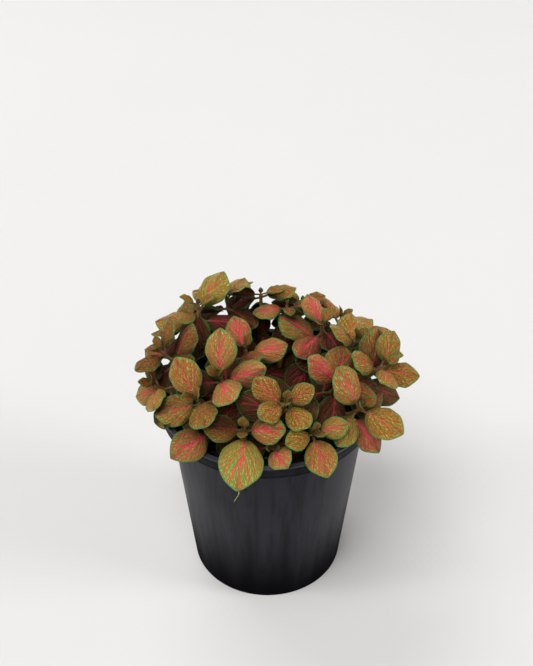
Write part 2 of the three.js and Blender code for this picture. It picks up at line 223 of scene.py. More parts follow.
def light_at(at):
    """Where leaves at a place turn their faces: up, and away from the crown's highest point."""
    behind = at[1] - CROWN_Y
    tilt = BACK_TILT if behind > 0 else FRONT_TILT
    return unit(np.array([SIDE_TILT * at[0] / RIM_RADIUS, tilt * behind / RIM_RADIUS, 1]))


def make_leaf(at, axis, turn, lift, roll, length, rank):
    """A leaf on a stem, at a compass turn round it and a lift above the plane that it faces from."""
    facing = unit(axis + (light_at(at) - axis) * LIGHT_SHARE[rank])
    way = compass(turn)
    radial = unit(way - (way @ facing) * facing)
    lift, roll = math.radians(lift), math.radians(roll)
    along = radial * math.cos(lift) + facing * math.sin(lift)
    flat_up = facing * math.cos(lift) - radial * math.sin(lift)
    side = np.cross(flat_up, along)
    up = flat_up * math.cos(roll) + side * math.sin(roll)
    across = np.cross(up, along)
    reach = PETIOLE_SHORTEST + PETIOLE_SHARE * length
    base = at + along * reach
    leaf = SimpleNamespace(base=base, along=along, across=across, up=up, rank=rank)
    leaf.reach = reach
    leaf.length = length
    leaf.half = length * LEAF_HALF_WIDTH
    leaf.bend = LEAF_BEND[rank]
    leaf.fold = LEAF_FOLD[rank]
    leaf.middle = base + along * (length / 2)
    leaf.probes = probes_of(leaf)
    return leaf


def probes_of(leaf):
    """Points all over a leaf and its stalk, to test it with."""
    shares = np.repeat(PROBE_SHARES, len(PROBE_SIDES))
    sides = np.tile(PROBE_SIDES, len(PROBE_SHARES))
    blade = leaf_points(leaf, shares * leaf.length, sides * leaf.half * outline(shares))
    stalk = leaf_points(leaf, -np.array(STALK_PROBES) * leaf.reach, np.zeros(len(STALK_PROBES)))
    return np.concatenate([blade, stalk])


def clear_of_blade(points, blade, clearance):
    """For each group of points: True where those over or under the blade are on one side, far enough."""
    away = points - blade.base[..., None, :]
    x = np.einsum("...nk,...k->...n", away, blade.along)
    y = np.einsum("...nk,...k->...n", away, blade.across)
    length = blade.length
    room = blade.half * outline(x / length) + EDGE_MARGIN
    near_it = (x >= -EDGE_MARGIN) & (x <= length + EDGE_MARGIN) & (np.abs(y) <= room)
    gap = np.einsum("...nk,...k->...n", away, blade.up) - surface_height(blade, x, y)
    touching = near_it & (np.abs(gap) < clearance)
    above = (near_it & (gap > 0)).any(-1)
    below = (near_it & (gap <= 0)).any(-1)
    return ~(touching.any(-1) | (above & below))


def clear_of_pot(points):
    """True where every point is above the rim, outside the pot or inside it and above the soil."""
    radius = np.hypot(points[:, 0], points[:, 1])
    inside = radius < INNER_RADIUS_AT_RIM - POT_CLEARANCE
    over_rim = ~inside & (radius < RIM_RADIUS + POT_CLEARANCE)
    sunk = inside & (points[:, 2] < SOIL_TOP + SOIL_CLEARANCE)
    cut = over_rim & (points[:, 2] < RIM_TOP + POT_CLEARANCE)
    return not (sunk | cut).any()


def several(leaves):
    """Several leaves as one blade whose values are arrays, so that they are tested together."""
    names = ("base", "along", "across", "up", "length", "half", "bend", "fold", "probes")
    stacked = SimpleNamespace(**{name: np.array([getattr(leaf, name) for leaf in leaves]) for name in names})
    for name in ("length", "half", "bend", "fold"):
        setattr(stacked, name, getattr(stacked, name)[:, None])
    return stacked


def is_clear(leaf, wish, stems, grown):
    """True if a leaf keeps clear of the pot, the stems and the leaves so far."""
    if not clear_of_pot(leaf.probes):
        return False
    all_stems = np.array([stem.points for stem in stems])
    own = stems[wish.owner]
    # The stretch of its own stem that its stalk grows from doesn't count, so it is moved away.
    free = np.abs(own.runs - wish.run) > leaf.reach + OWN_STEM_MARGIN
    all_stems[wish.owner][~free] = leaf.base - FAR_AWAY * leaf.length * leaf.along
    if not clear_of_blade(all_stems, leaf, STEM_CLEARANCE).all():
        return False
    close = []
    for other in grown:
        farthest = (other.length + leaf.length) / 2 + other.reach + leaf.reach
        if math.dist(other.middle, leaf.middle) <= farthest:
            close.append(other)
    if not close:
        return True
    others = several(close)
    clearances = [SIBLING_CLEARANCE if o.owner == wish.owner else LEAF_CLEARANCE for o in close]
    clearances = np.array(clearances)[:, None]
    if not clear_of_blade(np.broadcast_to(leaf.probes, others.probes.shape), others, clearances).all():
        return False
    return bool(clear_of_blade(others.probes, leaf, clearances).all())


def fit_leaf(wish, stems, grown):
    """The leaf that was wished for, swung, tilted or made smaller until it is clear, or None."""
    at, axis = place_on_stem(stems[wish.owner], wish.run)
    for size in TRIED_SIZES:
        for swing in TRIED_SWINGS:
            for lift in TRIED_LIFTS:
                turn = wish.turn + swing
                leaf = make_leaf(at, axis, turn, wish.lift + lift, wish.roll, wish.length * size, wish.rank)
                if is_clear(leaf, wish, stems, grown):
                    leaf.owner = wish.owner
                    leaf.second = wish.second
                    return leaf
    return None


def grow_leaves(stems):
    """Every leaf of the plant, the youngest pairs of all stems first."""
    draws = seeded_draws(RANDOM_SEED)
    wanted = []
    for owner, (_, _, pairs) in enumerate(SHOOTS):
        run = 0
        for rank, (turn, length, *rest) in enumerate(pairs):
            lift, twist, share = [*rest, *PLAIN_PAIR[len(rest):]]
            run += INTERNODES[rank]
            for second in (0, 1):
                wish = SimpleNamespace(owner=owner, rank=rank, run=run, second=second)
                wish.turn = turn + second * (180 + twist) + (next(draws) - 0.5) * TURN_JITTER
                wish.lift = LEAF_LIFT[rank] + lift + (next(draws) - 0.5) * LIFT_JITTER
                wish.roll = (next(draws) - 0.5) * ROLL_JITTER
                wish.length = length * (share if second else 1) * (1 + (next(draws) - 0.5) * LENGTH_JITTER)
                wanted.append(wish)
    wanted.sort(key=lambda wish: (wish.rank, wish.owner))
    grown = []
    for wish in wanted:
        leaf = fit_leaf(wish, stems, grown)
        if leaf:
            grown.append(leaf)
    return grown


@cache
def whole_plant():
    """The stems and leaves of the plant, grown once and then kept."""
    stems = [stem_of(tip, lean) for tip, lean, _ in SHOOTS]
    return stems, grow_leaves(stems)


# The finer leaf: where it draws to a point and how much, its rows of faces, and its side veins
TIP_FROM = 0.5
TIP_POINT = 0.5
BLADE_ROWS = 40
BLADE_COLUMNS = 22
BUD_ROWS = 16
BUD_COLUMNS = 10
ROW_EASE = 0.5
COLUMN_EASE = 0.5
OUTLINE_STEPS = 200
VEIN_PAIRS = 9
VEIN_ALTERNATION = 0.3
VEIN_ARCH = 0.3
VEIN_SWEEP = 7

# The finer leaf's relief, in millimetres where a size: its groove, puffs, waved edge, fold and thickness
RIB_GROOVE_WIDTH = 0.9
PUFFS_ACROSS = 5
PUFF_RIPPLE = 0.3
WAVES_ALONG = 2.6
WAVE_DRIFT = 0.21
WAVE_SLANT = 2
DROOP_POWER = 2.5
FOLD_SOFTNESS = 0.1225
FULL_RELIEF_LENGTH = 20
EDGE_THINNING = 0.55
BUD_THINNESS = 0.6

# The height over the rim from which leaves' edges droop, and over which their droop grows to its full
RIM_HEADROOM = 4
HEADROOM_RANGE = 10

# Stalks, stems and bud scales, in millimetres where a size
LINE_STEPS = 24
STALK_SIDES = 8
STALK_RINGS = 12
STALK_UNDER_BLADE = 0.66
STALK_DIP = 0.12
STALK_SINK = 0.35
STALK_TAPER = 0.85
STALK_GROWTH = 0.7
LARGE_LEAF = 22
STEM_SIDES = 12
STEM_RINGS = 60
STEM_TIP_SHARE = 0.68
STEM_TAPER_RUN = 30
STEM_END_ROUNDING = 1.2
STEM_END_SHARE = 0.15
NODE_SWELLING = 0.3
NODE_LENGTH = 1.1
BUD_SCALE_RUN = 0.4
BUD_SCALE_REACH = 0.5
BUD_SCALE_LENGTH = 3.6
BUD_SCALE_LIFT = 76
# A bud scale's age, flush, pinkness and painted shade
BUD_SCALE_LOOK = (0, 0.4, 0.2, 0.2)

# Hairs on the stems, in millimetres where a size
HAIR_SIDES = 3
HAIR_RADIUS = 0.045
HAIR_POINT = 0.15
HAIR_ROOT = 0.8
HAIR_LENGTHS = (0.7, 1.3)
HAIR_LEANS = (0, 0.5)
HAIRY_RUNS = (1, 34)
SLIGHTLY_UP = (0, 0, 0.01)
NO_HAIRS_WAY = (0.3, 0.5, 0.8)

# The looks that leaves draw: age and painted shade by pair, the ranges of all, and what changes at the back,
# where the painted shade is deeper
LOOK_SEED = 5
AGES = [0.1, 0.5, 0.8, 0.9, 0.95, 1]
AGE_SPREAD = 0.15
FLUSHES = (0.2, 0.9)
PAINTED_SHADE_BY_PAIR = [0, 0, 0.05, 0.15, 0.25, 0.3]
PAINTED_SHADE_SPREAD = 0.3
BACK_FROM = 44
BACK_PAINTED_SHADE = 0.05
BACK_AGE = 0.7
BACK_PINK = 0.4
DRIFT_RANGE = 6
LEAVES_APART = 11

# Cover by other leaves, which is painted into their colour as shade: where it is measured, against which
# coarser leaves, how far, and how much painted shade it gives
COVER_ROWS = [0.08, 0.35, 0.65, 0.92]
COVER_SIDES = [-0.75, 0, 0.75]
COVER_BLEND = 0.02
COARSE_ROWS = 7
COARSE_COLUMNS = 5
COVER_LIFT = 0.8
COVER_WAYS = 28
COVER_REACH = 40
COVER_FREE = 0.12
COVER_PAINTED_SHADE = 2.5
DEEPEST_PAINTED_SHADE = 0.95

# How some leaves look, by shoot, pair and leaf: from young gold to old green, how far red floods them,
# how pink their veins are, and how much painted shade darkens them. The others draw theirs by their age and
# place.
LOOKS = {
    (1, 1, 0): (0.1, 0.5, 0.2, 0.05),
    (1, 1, 1): (0.15, 0.5, 0.1, 0.1),
    (1, 2, 0): (0.1, 0.6, 0.3, 0),
    (1, 2, 1): (0.2, 0.4, 0.1, 0.1),
    (1, 3, 0): (0.9, 0.6, 0.9, 0.2),
    (1, 3, 1): (1, 0.4, 0.6, 0.5),
    (2, 1, 0): (0.8, 0.7, 0.4, 0.2),
    (2, 1, 1): (0.4, 0.45, 0.1, 0.2),
    (2, 3, 1): (0.7, 0.8, 1, 0.2),
    (3, 1, 0): (0.25, 0.25, 0, 0),
    (3, 1, 1): (1, 0.3, 0.6, 0.2),
    (3, 2, 1): (0.75, 0.6, 0.5, 0),
    (4, 1, 0): (0.5, 0.6, 0.1, 0.45),
    (4, 1, 1): (0.8, 0.6, 0.7, 0.15),
    (4, 2, 0): (1, 0.15, 0.55, 0),
    (5, 1, 0): (0.6, 0.7, 0.3, 0.1),
    (5, 1, 1): (0.45, 0.6, 0.1, 0.45),
    (6, 1, 0): (0.7, 0.4, 0.9, 0.5),
    (7, 0, 0): (0.5, 0.4, 0.1, 0),
    (7, 1, 0): (0.9, 0.3, 0.6, 0),
    (7, 1, 1): (0.6, 0.5, 0.2, 0.3),
    (7, 2, 0): (0.75, 0.2, 0.35, 0),
    (7, 2, 1): (0.5, 0.5, 0.1, 0.2),
    (7, 3, 0): (0.7, 0.8, 0.8, 0.5),
    (7, 3, 1): (0.5, 0.5, 0.2, 0.2),
    (8, 1, 0): (0.4, 0.7, 0.1, 0.7),
    (8, 1, 1): (0.5, 0.6, 0.1, 0.6),
    (8, 2, 0): (0.5, 0.6, 0.1, 0.6),
    (8, 2, 1): (0.5, 0.7, 0.2, 0.6),
    (8, 3, 0): (0.6, 0.6, 0.3, 0.5),
    (9, 1, 0): (0.5, 0.4, 0.1, 0.4),
    (9, 2, 1): (0.5, 0.6, 0.1, 0.3),
    (10, 1, 0): (0.4, 0.4, 0.1, 0.2),
    (10, 2, 1): (0.35, 0.3, 0.1, 0.1),
    (11, 0, 0): (0.3, 0.4, 0.1, 0),
    (11, 1, 0): (0.6, 0.8, 1, 0),
    (11, 1, 1): (0.35, 1, 0.5, 0.05),
    (11, 2, 0): (0.4, 1, 0.9, 0.3),
    (11, 3, 0): (0.9, 0.2, 0.7, 0),
    (11, 4, 0): (0.3, 1, 0.6, 0),
    (12, 1, 1): (0.85, 0.4, 0.9, 0.05),
    (12, 2, 0): (0.8, 0.5, 0.5, 0.1),
    (13, 0, 0): (0.35, 0.5, 0.1, 0.15),
    (13, 0, 1): (0.5, 0.3, 0.1, 0.2),
    (13, 1, 0): (0.6, 0.6, 0.7, 0.25),
    (13, 2, 0): (0.6, 0.7, 0.5, 0.1),
    (14, 1, 0): (0.8, 0.35, 0.75, 0),
    (14, 1, 1): (0.9, 0.5, 0.9, 0.15),
    (14, 2, 0): (1, 0.5, 1, 0.25),
    (15, 1, 0): (0.4, 1, 0.9, 0.05),
    (15, 2, 0): (0.7, 0.6, 0.5, 0.05),
    (16, 1, 0): (0.7, 0.9, 1, 0.15),
    (16, 2, 0): (0.9, 0.6, 1, 0),
    (16, 4, 0): (0.9, 0.4, 0.9, 0),
    (19, 2, 1): (0.4, 0.5, 0.2, 0.4),
    (20, 1, 0): (0.35, 0.7, 0.1, 0.1),
    (23, 1, 0): (0.9, 0.5, 1, 0.1),
}


def rest_all():
    """Nothing is selected or being edited."""
    if bpy.context.object and bpy.context.object.mode != "OBJECT":
        bpy.ops.object.mode_set(mode="OBJECT")
    bpy.ops.object.select_all(action="DESELECT")


def choose(*objects):
    rest_all()
    for thing in objects:
        thing.select_set(True)
    bpy.context.view_layer.objects.active = objects[0]


@contextmanager
def editing(thing):
    """Edit mode on one piece, for as long as the block lasts."""
    choose(thing)
    bpy.ops.object.mode_set(mode="EDIT")
    yield
    bpy.ops.object.mode_set(mode="OBJECT")


def named(name):
    """The piece that was made last, given its name."""
    made = bpy.context.object
    made.name = made.data.name = name
    return made


def spots_of(mesh):
    """The places of a mesh's points."""
    spots = np.zeros(len(mesh.vertices) * 3)
    mesh.vertices.foreach_get("co", spots)
    return spots.reshape(-1, 3)


def put_spots(mesh, spots):
    mesh.vertices.foreach_set("co", np.asarray(spots, np.float32).ravel())
    mesh.update()


def keep_values(mesh, name, kind, values):
    """Stores values for each point of a mesh, for its material or for later."""
    field = {"FLOAT2": "vector", "FLOAT_VECTOR": "vector", "FLOAT_COLOR": "color"}[kind]
    attribute = mesh.attributes.get(name) or mesh.attributes.new(name, kind, "POINT")
    attribute.data.foreach_set(field, np.asarray(values, np.float32).ravel())


def kept_values(mesh, name, width):
    found = np.zeros(len(mesh.vertices) * width, np.float32)
    mesh.attributes[name].data.foreach_get("vector", found)
    return found.reshape(-1, width).astype(float)


def pick_edges(mesh, test):
    """Selects the edges whose two end points pass a test."""
    ends = spots_of(mesh)[np.array([edge.vertices[:] for edge in mesh.edges])]
    chosen = test(ends[:, 0], ends[:, 1])
    mesh.vertices.foreach_set("select", np.zeros(len(mesh.vertices), bool))
    mesh.polygons.foreach_set("select", np.zeros(len(mesh.polygons), bool))
    mesh.edges.foreach_set("select", chosen)


def apply_modifiers(thing):
    choose(thing)
    for modifier in list(thing.modifiers):
        bpy.ops.object.modifier_apply(modifier=modifier.name)


def join(name, things):
    choose(*things)
    bpy.ops.object.join()
    return named(name)


def copy_of(master, name):
    """A copy of a piece with its own mesh."""
    made = master.copy()
    made.data = master.data.copy()
    made.name = made.data.name = name
    bpy.context.scene.collection.objects.link(made)
    return made


def discard(*things):
    for thing in things:
        mesh = thing.data
        bpy.data.objects.remove(thing)
        bpy.data.meshes.remove(mesh)


class Wire:
    """A value in a material. Python's operators on it add Math nodes."""

    def __init__(self, finish, socket):
        self.finish = finish
        self.socket = socket

    def calculate(self, operation, *terms):
        return self.finish.maths(operation, *terms)

    def __add__(self, other):
        return self.calculate("ADD", self, other)

    def __radd__(self, other):
        return self.calculate("ADD", other, self)

    def __sub__(self, other):
        return self.calculate("SUBTRACT", self, other)

    def __rsub__(self, other):
        return self.calculate("SUBTRACT", other, self)

    def __mul__(self, other):
        return self.calculate("MULTIPLY", self, other)

    def __rmul__(self, other):
        return self.calculate("MULTIPLY", other, self)

    def __truediv__(self, other):
        return self.calculate("DIVIDE", self, other)

    def __abs__(self):
        return self.calculate("ABSOLUTE", self)

    def fraction(self):
        return self.calculate("FRACT", self)


class Finish:
    """A material as it is put together."""

    def __init__(self, name):
        self.material = bpy.data.materials.new(name)
        self.material.use_nodes = True
        self.tree = self.material.node_tree
        self.tree.nodes.clear()

    def node(self, kind, settings=None, sockets=None):
        """Any node: its settings first, then the values or links of its sockets, by name or number."""
        made = self.tree.nodes.new(kind)
        for name, value in (settings or {}).items():
            setattr(made, name, value)
        for name, value in (sockets or {}).items():
            if isinstance(value, Wire):
                value = value.socket
            if isinstance(value, bpy.types.NodeSocket):
                self.tree.links.new(value, made.inputs[name])
            else:
                made.inputs[name].default_value = value
        return made

    def maths(self, operation, *terms):
        made = self.node("ShaderNodeMath", {"operation": operation}, dict(enumerate(terms)))
        return Wire(self, made.outputs[0])

    def parts(self, vector):
        made = self.node("ShaderNodeSeparateXYZ", sockets={0: vector})
        return [Wire(self, made.outputs[i]) for i in range(3)]

    def vector(self, x, y):
        return self.node("ShaderNodeCombineXYZ", sockets={0: x, 1: y}).outputs[0]

    def place(self, scale=(1, 1, 1)):
        """The point on the object in metres, with each way scaled."""
        here = self.node("ShaderNodeTexCoord").outputs["Object"]
        return self.node("ShaderNodeMapping", sockets={"Vector": here, "Scale": scale}).outputs[0]

    def noise(self, vector, scale, detail=2.0, roughness=0.5):
        sockets = {"Vector": vector, "Scale": scale, "Detail": detail, "Roughness": roughness}
        return Wire(self, self.node("ShaderNodeTexNoise", sockets=sockets).outputs[0])

    def cells(self, vector, scale, feature="DISTANCE_TO_EDGE", dimensions="2D"):
        settings = {"feature": feature, "voronoi_dimensions": dimensions}
        made = self.node("ShaderNodeTexVoronoi", settings, {"Vector": vector, "Scale": scale})
        return Wire(self, made.outputs["Distance"])

    def fade(self, value, start, end):
        """0 up to start, 1 from end, and smooth between them."""
        settings = {"interpolation_type": "SMOOTHSTEP"}
        made = self.node("ShaderNodeMapRange", settings, {0: value, 1: start, 2: end, 3: 0.0, 4: 1.0})
        return Wire(self, made.outputs[0])

    def blend(self, share, first, second, way="MIX"):
        """A colour from two, each of them a socket or plain red, green and blue."""
        settings = {"data_type": "RGBA", "blend_type": way}
        made = self.node("ShaderNodeMix", settings, {0: share, 6: paint(first), 7: paint(second)})
        return made.outputs[2]

    def bump(self, height, distance, strength):
        sockets = {"Height": height, "Distance": distance, "Strength": strength}
        return self.node("ShaderNodeBump", sockets=sockets).outputs[0]

    def shader(self, **sockets):
        """The Principled shader. An underscore in a socket's name stands for a space."""
        sockets = {name.replace("_", " "): value for name, value in sockets.items()}
        return self.node("ShaderNodeBsdfPrincipled", sockets=sockets).outputs[0]

    def done(self, shader):
        self.node("ShaderNodeOutputMaterial", sockets={"Surface": shader})
        return self.material

    def surface(self, **sockets):
        return self.done(self.shader(**sockets))


def paint(colour):
    """Red, green and blue with an alpha of 1, as sockets take them. A socket stays as it is."""
    return colour if isinstance(colour, bpy.types.NodeSocket) else (*colour, 1.0)


def read_leaf(f):
    """What a leaf's materials read: its vein rows, and the distances from its edge, rib and stalk."""
    leaf = SimpleNamespace()
    leaf.phase, leaf.side, _ = f.parts(f.node("ShaderNodeUVMap", {"uv_map": "VeinRows"}).outputs[0])
    spans = f.node("ShaderNodeAttribute", {"attribute_name": "leaf_spans"}).outputs["Vector"]
    leaf.to_edge, leaf.from_rib, leaf.along = f.parts(spans)
    return leaf


def read_leaf_face(f):
    """The same with the leaf's own traits and with patterns that its ground, net and veins share."""
    leaf = read_leaf(f)
    traits = f.node("ShaderNodeAttribute", {"attribute_name": "leaf_traits"})
    leaf.age, leaf.flush, leaf.pink = f.parts(traits.outputs["Vector"])
    leaf.shade = Wire(f, traits.outputs["Alpha"])
    here = f.place()
    leaf.drift = f.noise(here, 300.0) - 0.5
    leaf.blotch = f.fade(f.noise(here, 210.0, 3.0), 0.35, 0.68)
    leaf.mottle = f.noise(here, 900.0) - 0.5
    leaf.across = abs(leaf.side)
    leaf.phase = leaf.phase + leaf.drift * 0.45
    leaf.off_trunk = abs(leaf.phase.fraction() - 0.5) * -2 + 1
    leaf.cell = f.cells(f.vector(leaf.phase * 2.4, leaf.side * 6.0 + leaf.drift), 1.0)
    return leaf


def leaf_ground(f, leaf, look):
    """Gold and green between the veins, greener with age, with a painted highlight on the tops of the puffs.
    """
    lens_start = 0.42 - leaf.age * 0.36
    lens = f.fade(leaf.off_trunk + leaf.mottle * 0.9, lens_start, lens_start + 0.4)
    lens = lens * (0.5 + leaf.age * 0.5) * (1 - leaf.flush * leaf.blotch * 0.5)
    ground = f.blend(lens, look.young_ground, look.old_ground)
    # Painted highlight: a pale tone on the tops of the puffs stands for light catching them
    top = f.fade(leaf.cell, 0.1, 0.35) * f.fade(leaf.mottle, -0.03, 0.2)
    return f.blend(top * (0.6 - leaf.age * 0.15), ground, look.painted_puff_highlight)


def leaf_net(f, leaf):
    """Where the fine net shows, with the red that floods it in blotches and lies along the veins."""
    net = 1 - f.fade(leaf.cell, 0.04, 0.14 + leaf.flush * 0.16)
    flood = leaf.flush * leaf.flush * leaf.blotch * f.fade(leaf.to_edge, 0.6, 3.0) * 0.55
    halo = 1 - f.fade(leaf.off_trunk + leaf.mottle * 0.6, 0.15, 0.55)
    share = net * (0.6 + leaf.flush * 0.3 - leaf.age * 0.15) + halo * (0.1 + leaf.pink * 0.2)
    return share + flood * (1 - share)


def leaf_veins(f, leaf):
    """Where the side veins are, each with a fork towards the leaf's edge."""
    fork_phase = leaf.phase - f.fade(leaf.across, 0.3, 0.95) * 0.5
    off_fork = abs(fork_phase.fraction() - 0.5) * -2 + 1
    trunk = 1 - f.fade(leaf.off_trunk, 0.1 - leaf.across * 0.04, 0.3 - leaf.across * 0.1)
    fork = (1 - f.fade(off_fork, 0.04, 0.2)) * f.fade(leaf.across, 0.25, 0.4) * 0.8
    vein = 1 - (1 - trunk) * (1 - fork)
    return vein * (1 - f.fade(leaf.across, 0.84, 0.98)) * (1 - f.fade(leaf.along, 0.8, 0.97) * 0.7)


def leaf_face_finish(look):
    """The upper side of a leaf: a rib, swept side veins and a fine net of veins over green or gold."""
    f = Finish("leaf_face")
    leaf = read_leaf_face(f)
    age, pink, shade = leaf.age, leaf.pink, leaf.shade
    net_colour = f.blend(pink * 0.35, f.blend(age, look.young_net, look.old_net), look.rib)
    vein_colour = f.blend(pink * 0.7, f.blend(age, look.young_vein, look.old_vein), look.rib)
    colour = f.blend(leaf_net(f, leaf), leaf_ground(f, leaf, look), net_colour)

    # Painted shade: the leaf's shade darkens its ground and net fully, and its veins, rib and edge less
    colour = f.blend(shade, colour, look.shade, "MULTIPLY")
    vein_colour, rib_colour, edge_colour = (
        f.blend(shade * 0.65, line_colour, look.shade, "MULTIPLY")
        for line_colour in (vein_colour, look.rib, look.edge)
    )

    to_tip = 1 - f.fade(leaf.along, 0.5, 0.95)
    warmth = (1 - f.fade(leaf.from_rib + leaf.mottle * 2, 0.5, 4.5)) * to_tip * pink
    colour = f.blend(warmth * 0.35, colour, vein_colour)
    vein = leaf_veins(f, leaf)
    drawn = vein * (0.65 - age * 0.3 + pink * 0.65) * (1 - leaf.across * 0.35)
    colour = f.blend(drawn, colour, vein_colour)

    rib_width = 0.65 + pink * 0.4 - leaf.along * 0.5
    middle = (1 - f.fade(leaf.from_rib / rib_width, 0.5, 1.15)) * (0.3 + to_tip * 0.7)
    colour = f.blend(middle * (0.4 + pink * 0.6), colour, rib_colour)
    edge = 1 - f.fade(leaf.to_edge + leaf.drift * 0.6, 0.25, 1.0)
    colour = f.blend(edge * 0.8, colour, edge_colour)

    relief = f.fade(leaf.cell, 0.0, 0.3) * 0.6 + (1 - vein) * 0.6 + leaf.mottle * 0.5
    return f.surface(
        Base_Color=colour,
        Roughness=0.28 + leaf.blotch * 0.1 + shade * 0.5,
        Specular_IOR_Level=look.gloss,
        Subsurface_Weight=look.glow,
        Subsurface_Radius=(1.0, 0.45, 0.2),
        Subsurface_Scale=0.0008,
        Normal=f.bump(relief, 0.0008, 0.9),
    )


def leaf_back_finish(look):
    """The under side of a leaf: paler, with its veins standing out and hardly any red."""
    f = Finish("leaf_back")
    leaf = read_leaf(f)
    drift = f.noise(f.place(), 260.0) - 0.5
    phase = leaf.phase + drift * 0.5
    vein = f.fade(abs(phase.fraction() - 0.5) * 2, 0.7, 0.95)
    net = 1 - f.fade(f.cells(f.vector(phase * 2.6, leaf.side * 5.5 + drift), 1.0), 0.02, 0.16)
    colour = f.blend(net * 0.5, look.back, look.back_vein)
    colour = f.blend(vein * 0.8, colour, look.back_vein)
    colour = f.blend(1 - f.fade(leaf.from_rib, 0.4, 0.8), colour, look.back_vein)
    colour = f.blend((1 - f.fade(leaf.to_edge, 0.3, 1.1)) * 0.7, colour, look.edge)
    return f.surface(
        Base_Color=colour,
        Roughness=0.6,
        Specular_IOR_Level=look.gloss,
        Normal=f.bump(net * 0.4 + vein, 0.0002, 0.7),
    )


def stem_finish(look):
    """Stems, stalks and their hairs: olive, reddened in patches."""
    f = Finish("stem_skin")
    patch = f.fade(f.noise(f.place(), 420.0, 3.0), 0.4, 0.65)
    grain = f.noise(f.place((1, 1, 0.3)), 2600.0)
    return f.surface(
        Base_Color=f.blend(patch * 0.7, look.stem, look.stem_red),
        Roughness=0.55,
        Specular_IOR_Level=look.gloss,
        Normal=f.bump(grain, 0.0001, 0.5),
    )


def blade_outline(row):
    """The outline of the finer leaf, which ends in more of a point than the solid's."""
    return outline(row) ** (1 + TIP_POINT * np.clip((row - TIP_FROM) / (1 - TIP_FROM), 0, 1))


def vein_phase(row, side):
    """Counts the side veins along a leaf, those of its two halves out of step."""
    return row * VEIN_PAIRS + np.where(side > 0, VEIN_ALTERNATION, 0)


def model_blade(name, rows, columns):
    """A flat leaf one unit long, one unit thick, whose rows of faces follow its side veins."""
    rest_all()
    bpy.ops.mesh.primitive_grid_add(x_subdivisions=rows, y_subdivisions=columns, size=2)
    blade = named(name)
    mesh = blade.data
    spots = spots_of(mesh)
    step = (spots[:, 0] + 1) / 2
    row = (1 - ROW_EASE) * step + ROW_EASE * (1 - np.cos(math.pi * step)) / 2
    out = np.abs(spots[:, 1])
    side = np.sign(spots[:, 1]) * ((1 - COLUMN_EASE) * out + COLUMN_EASE * out**2 * (3 - 2 * out))
    on_rib = row**VEIN_SWEEP
    arch = 2 * VEIN_ARCH * np.abs(side) + (1 - 2 * VEIN_ARCH) * side**2
    x = on_rib + (row - on_rib) * arch
    y = side * LEAF_HALF_WIDTH * blade_outline(row)
    edge_rows = np.linspace(0, 1, OUTLINE_STEPS)
    edge_y = LEAF_HALF_WIDTH * blade_outline(edge_rows)
    to_edge = np.sqrt(((x[:, None] - edge_rows) ** 2 + (np.abs(y)[:, None] - edge_y) ** 2).min(1))
    keep_values(mesh, "row_side", "FLOAT2", np.stack([row, side], 1))
    keep_values(mesh, "leaf_spans", "FLOAT_VECTOR", np.stack([to_edge, np.abs(y), x], 1))
    corners = np.zeros(len(mesh.loops), np.int32)
    mesh.loops.foreach_get("vertex_index", corners)
    mesh.uv_layers[0].name = "VeinRows"
    veins = np.stack([vein_phase(row, side), side], 1)[corners]
    mesh.uv_layers[0].data.foreach_set("uv", veins.astype(np.float32).ravel())
    put_spots(mesh, np.stack([x, y, np.zeros(len(x))], 1))
    with editing(blade):
        bpy.ops.mesh.select_all(action="SELECT")
        bpy.ops.mesh.remove_doubles(threshold=1e-5)
    thicken = blade.modifiers.new("Thicken", "SOLIDIFY")
    thicken.thickness = 1
    thicken.offset = 0
    thicken.material_offset = 1
    apply_modifiers(blade)
    choose(blade)
    bpy.ops.object.shade_smooth()
    return blade


def model_tube(name, sides, rings):
    """A straight tube one unit long from end to end, with rings along it to bend it by."""
    rest_all()
    bpy.ops.mesh.primitive_cylinder_add(vertices=sides, radius=1, depth=1, end_fill_type="NGON")
    tube = named(name)
    with editing(tube):
        bpy.ops.mesh.select_mode(type="EDGE")
    pick_edges(tube.data, lambda first, second: np.abs(first[:, 2] - second[:, 2]) > 0.5)
    with editing(tube):
        bpy.ops.mesh.subdivide(number_cuts=rings)
    bpy.ops.object.shade_smooth()
    return tube


def lay_tube(tube, line, sideways, radii):
    """Bends a straight tube along a line of points that lies in a plane, with a radius at each point."""
    straight = spots_of(tube.data)
    runs = runs_along(line)
    at = (straight[:, 2] + 0.5) * runs[-1]
    ahead = np.gradient(line, axis=0)
    ahead /= np.sqrt((ahead**2).sum(1))[:, None]
    centre = np.stack([np.interp(at, runs, line[:, k]) for k in range(3)], 1)
    ahead = np.stack([np.interp(at, runs, ahead[:, k]) for k in range(3)], 1)
    outward = np.cross(sideways, ahead)
    radius = np.interp(at, runs, radii)[:, None]
    put_spots(tube.data, (centre + radius * (sideways * straight[:, :1] + outward * straight[:, 1:2])) * MM)


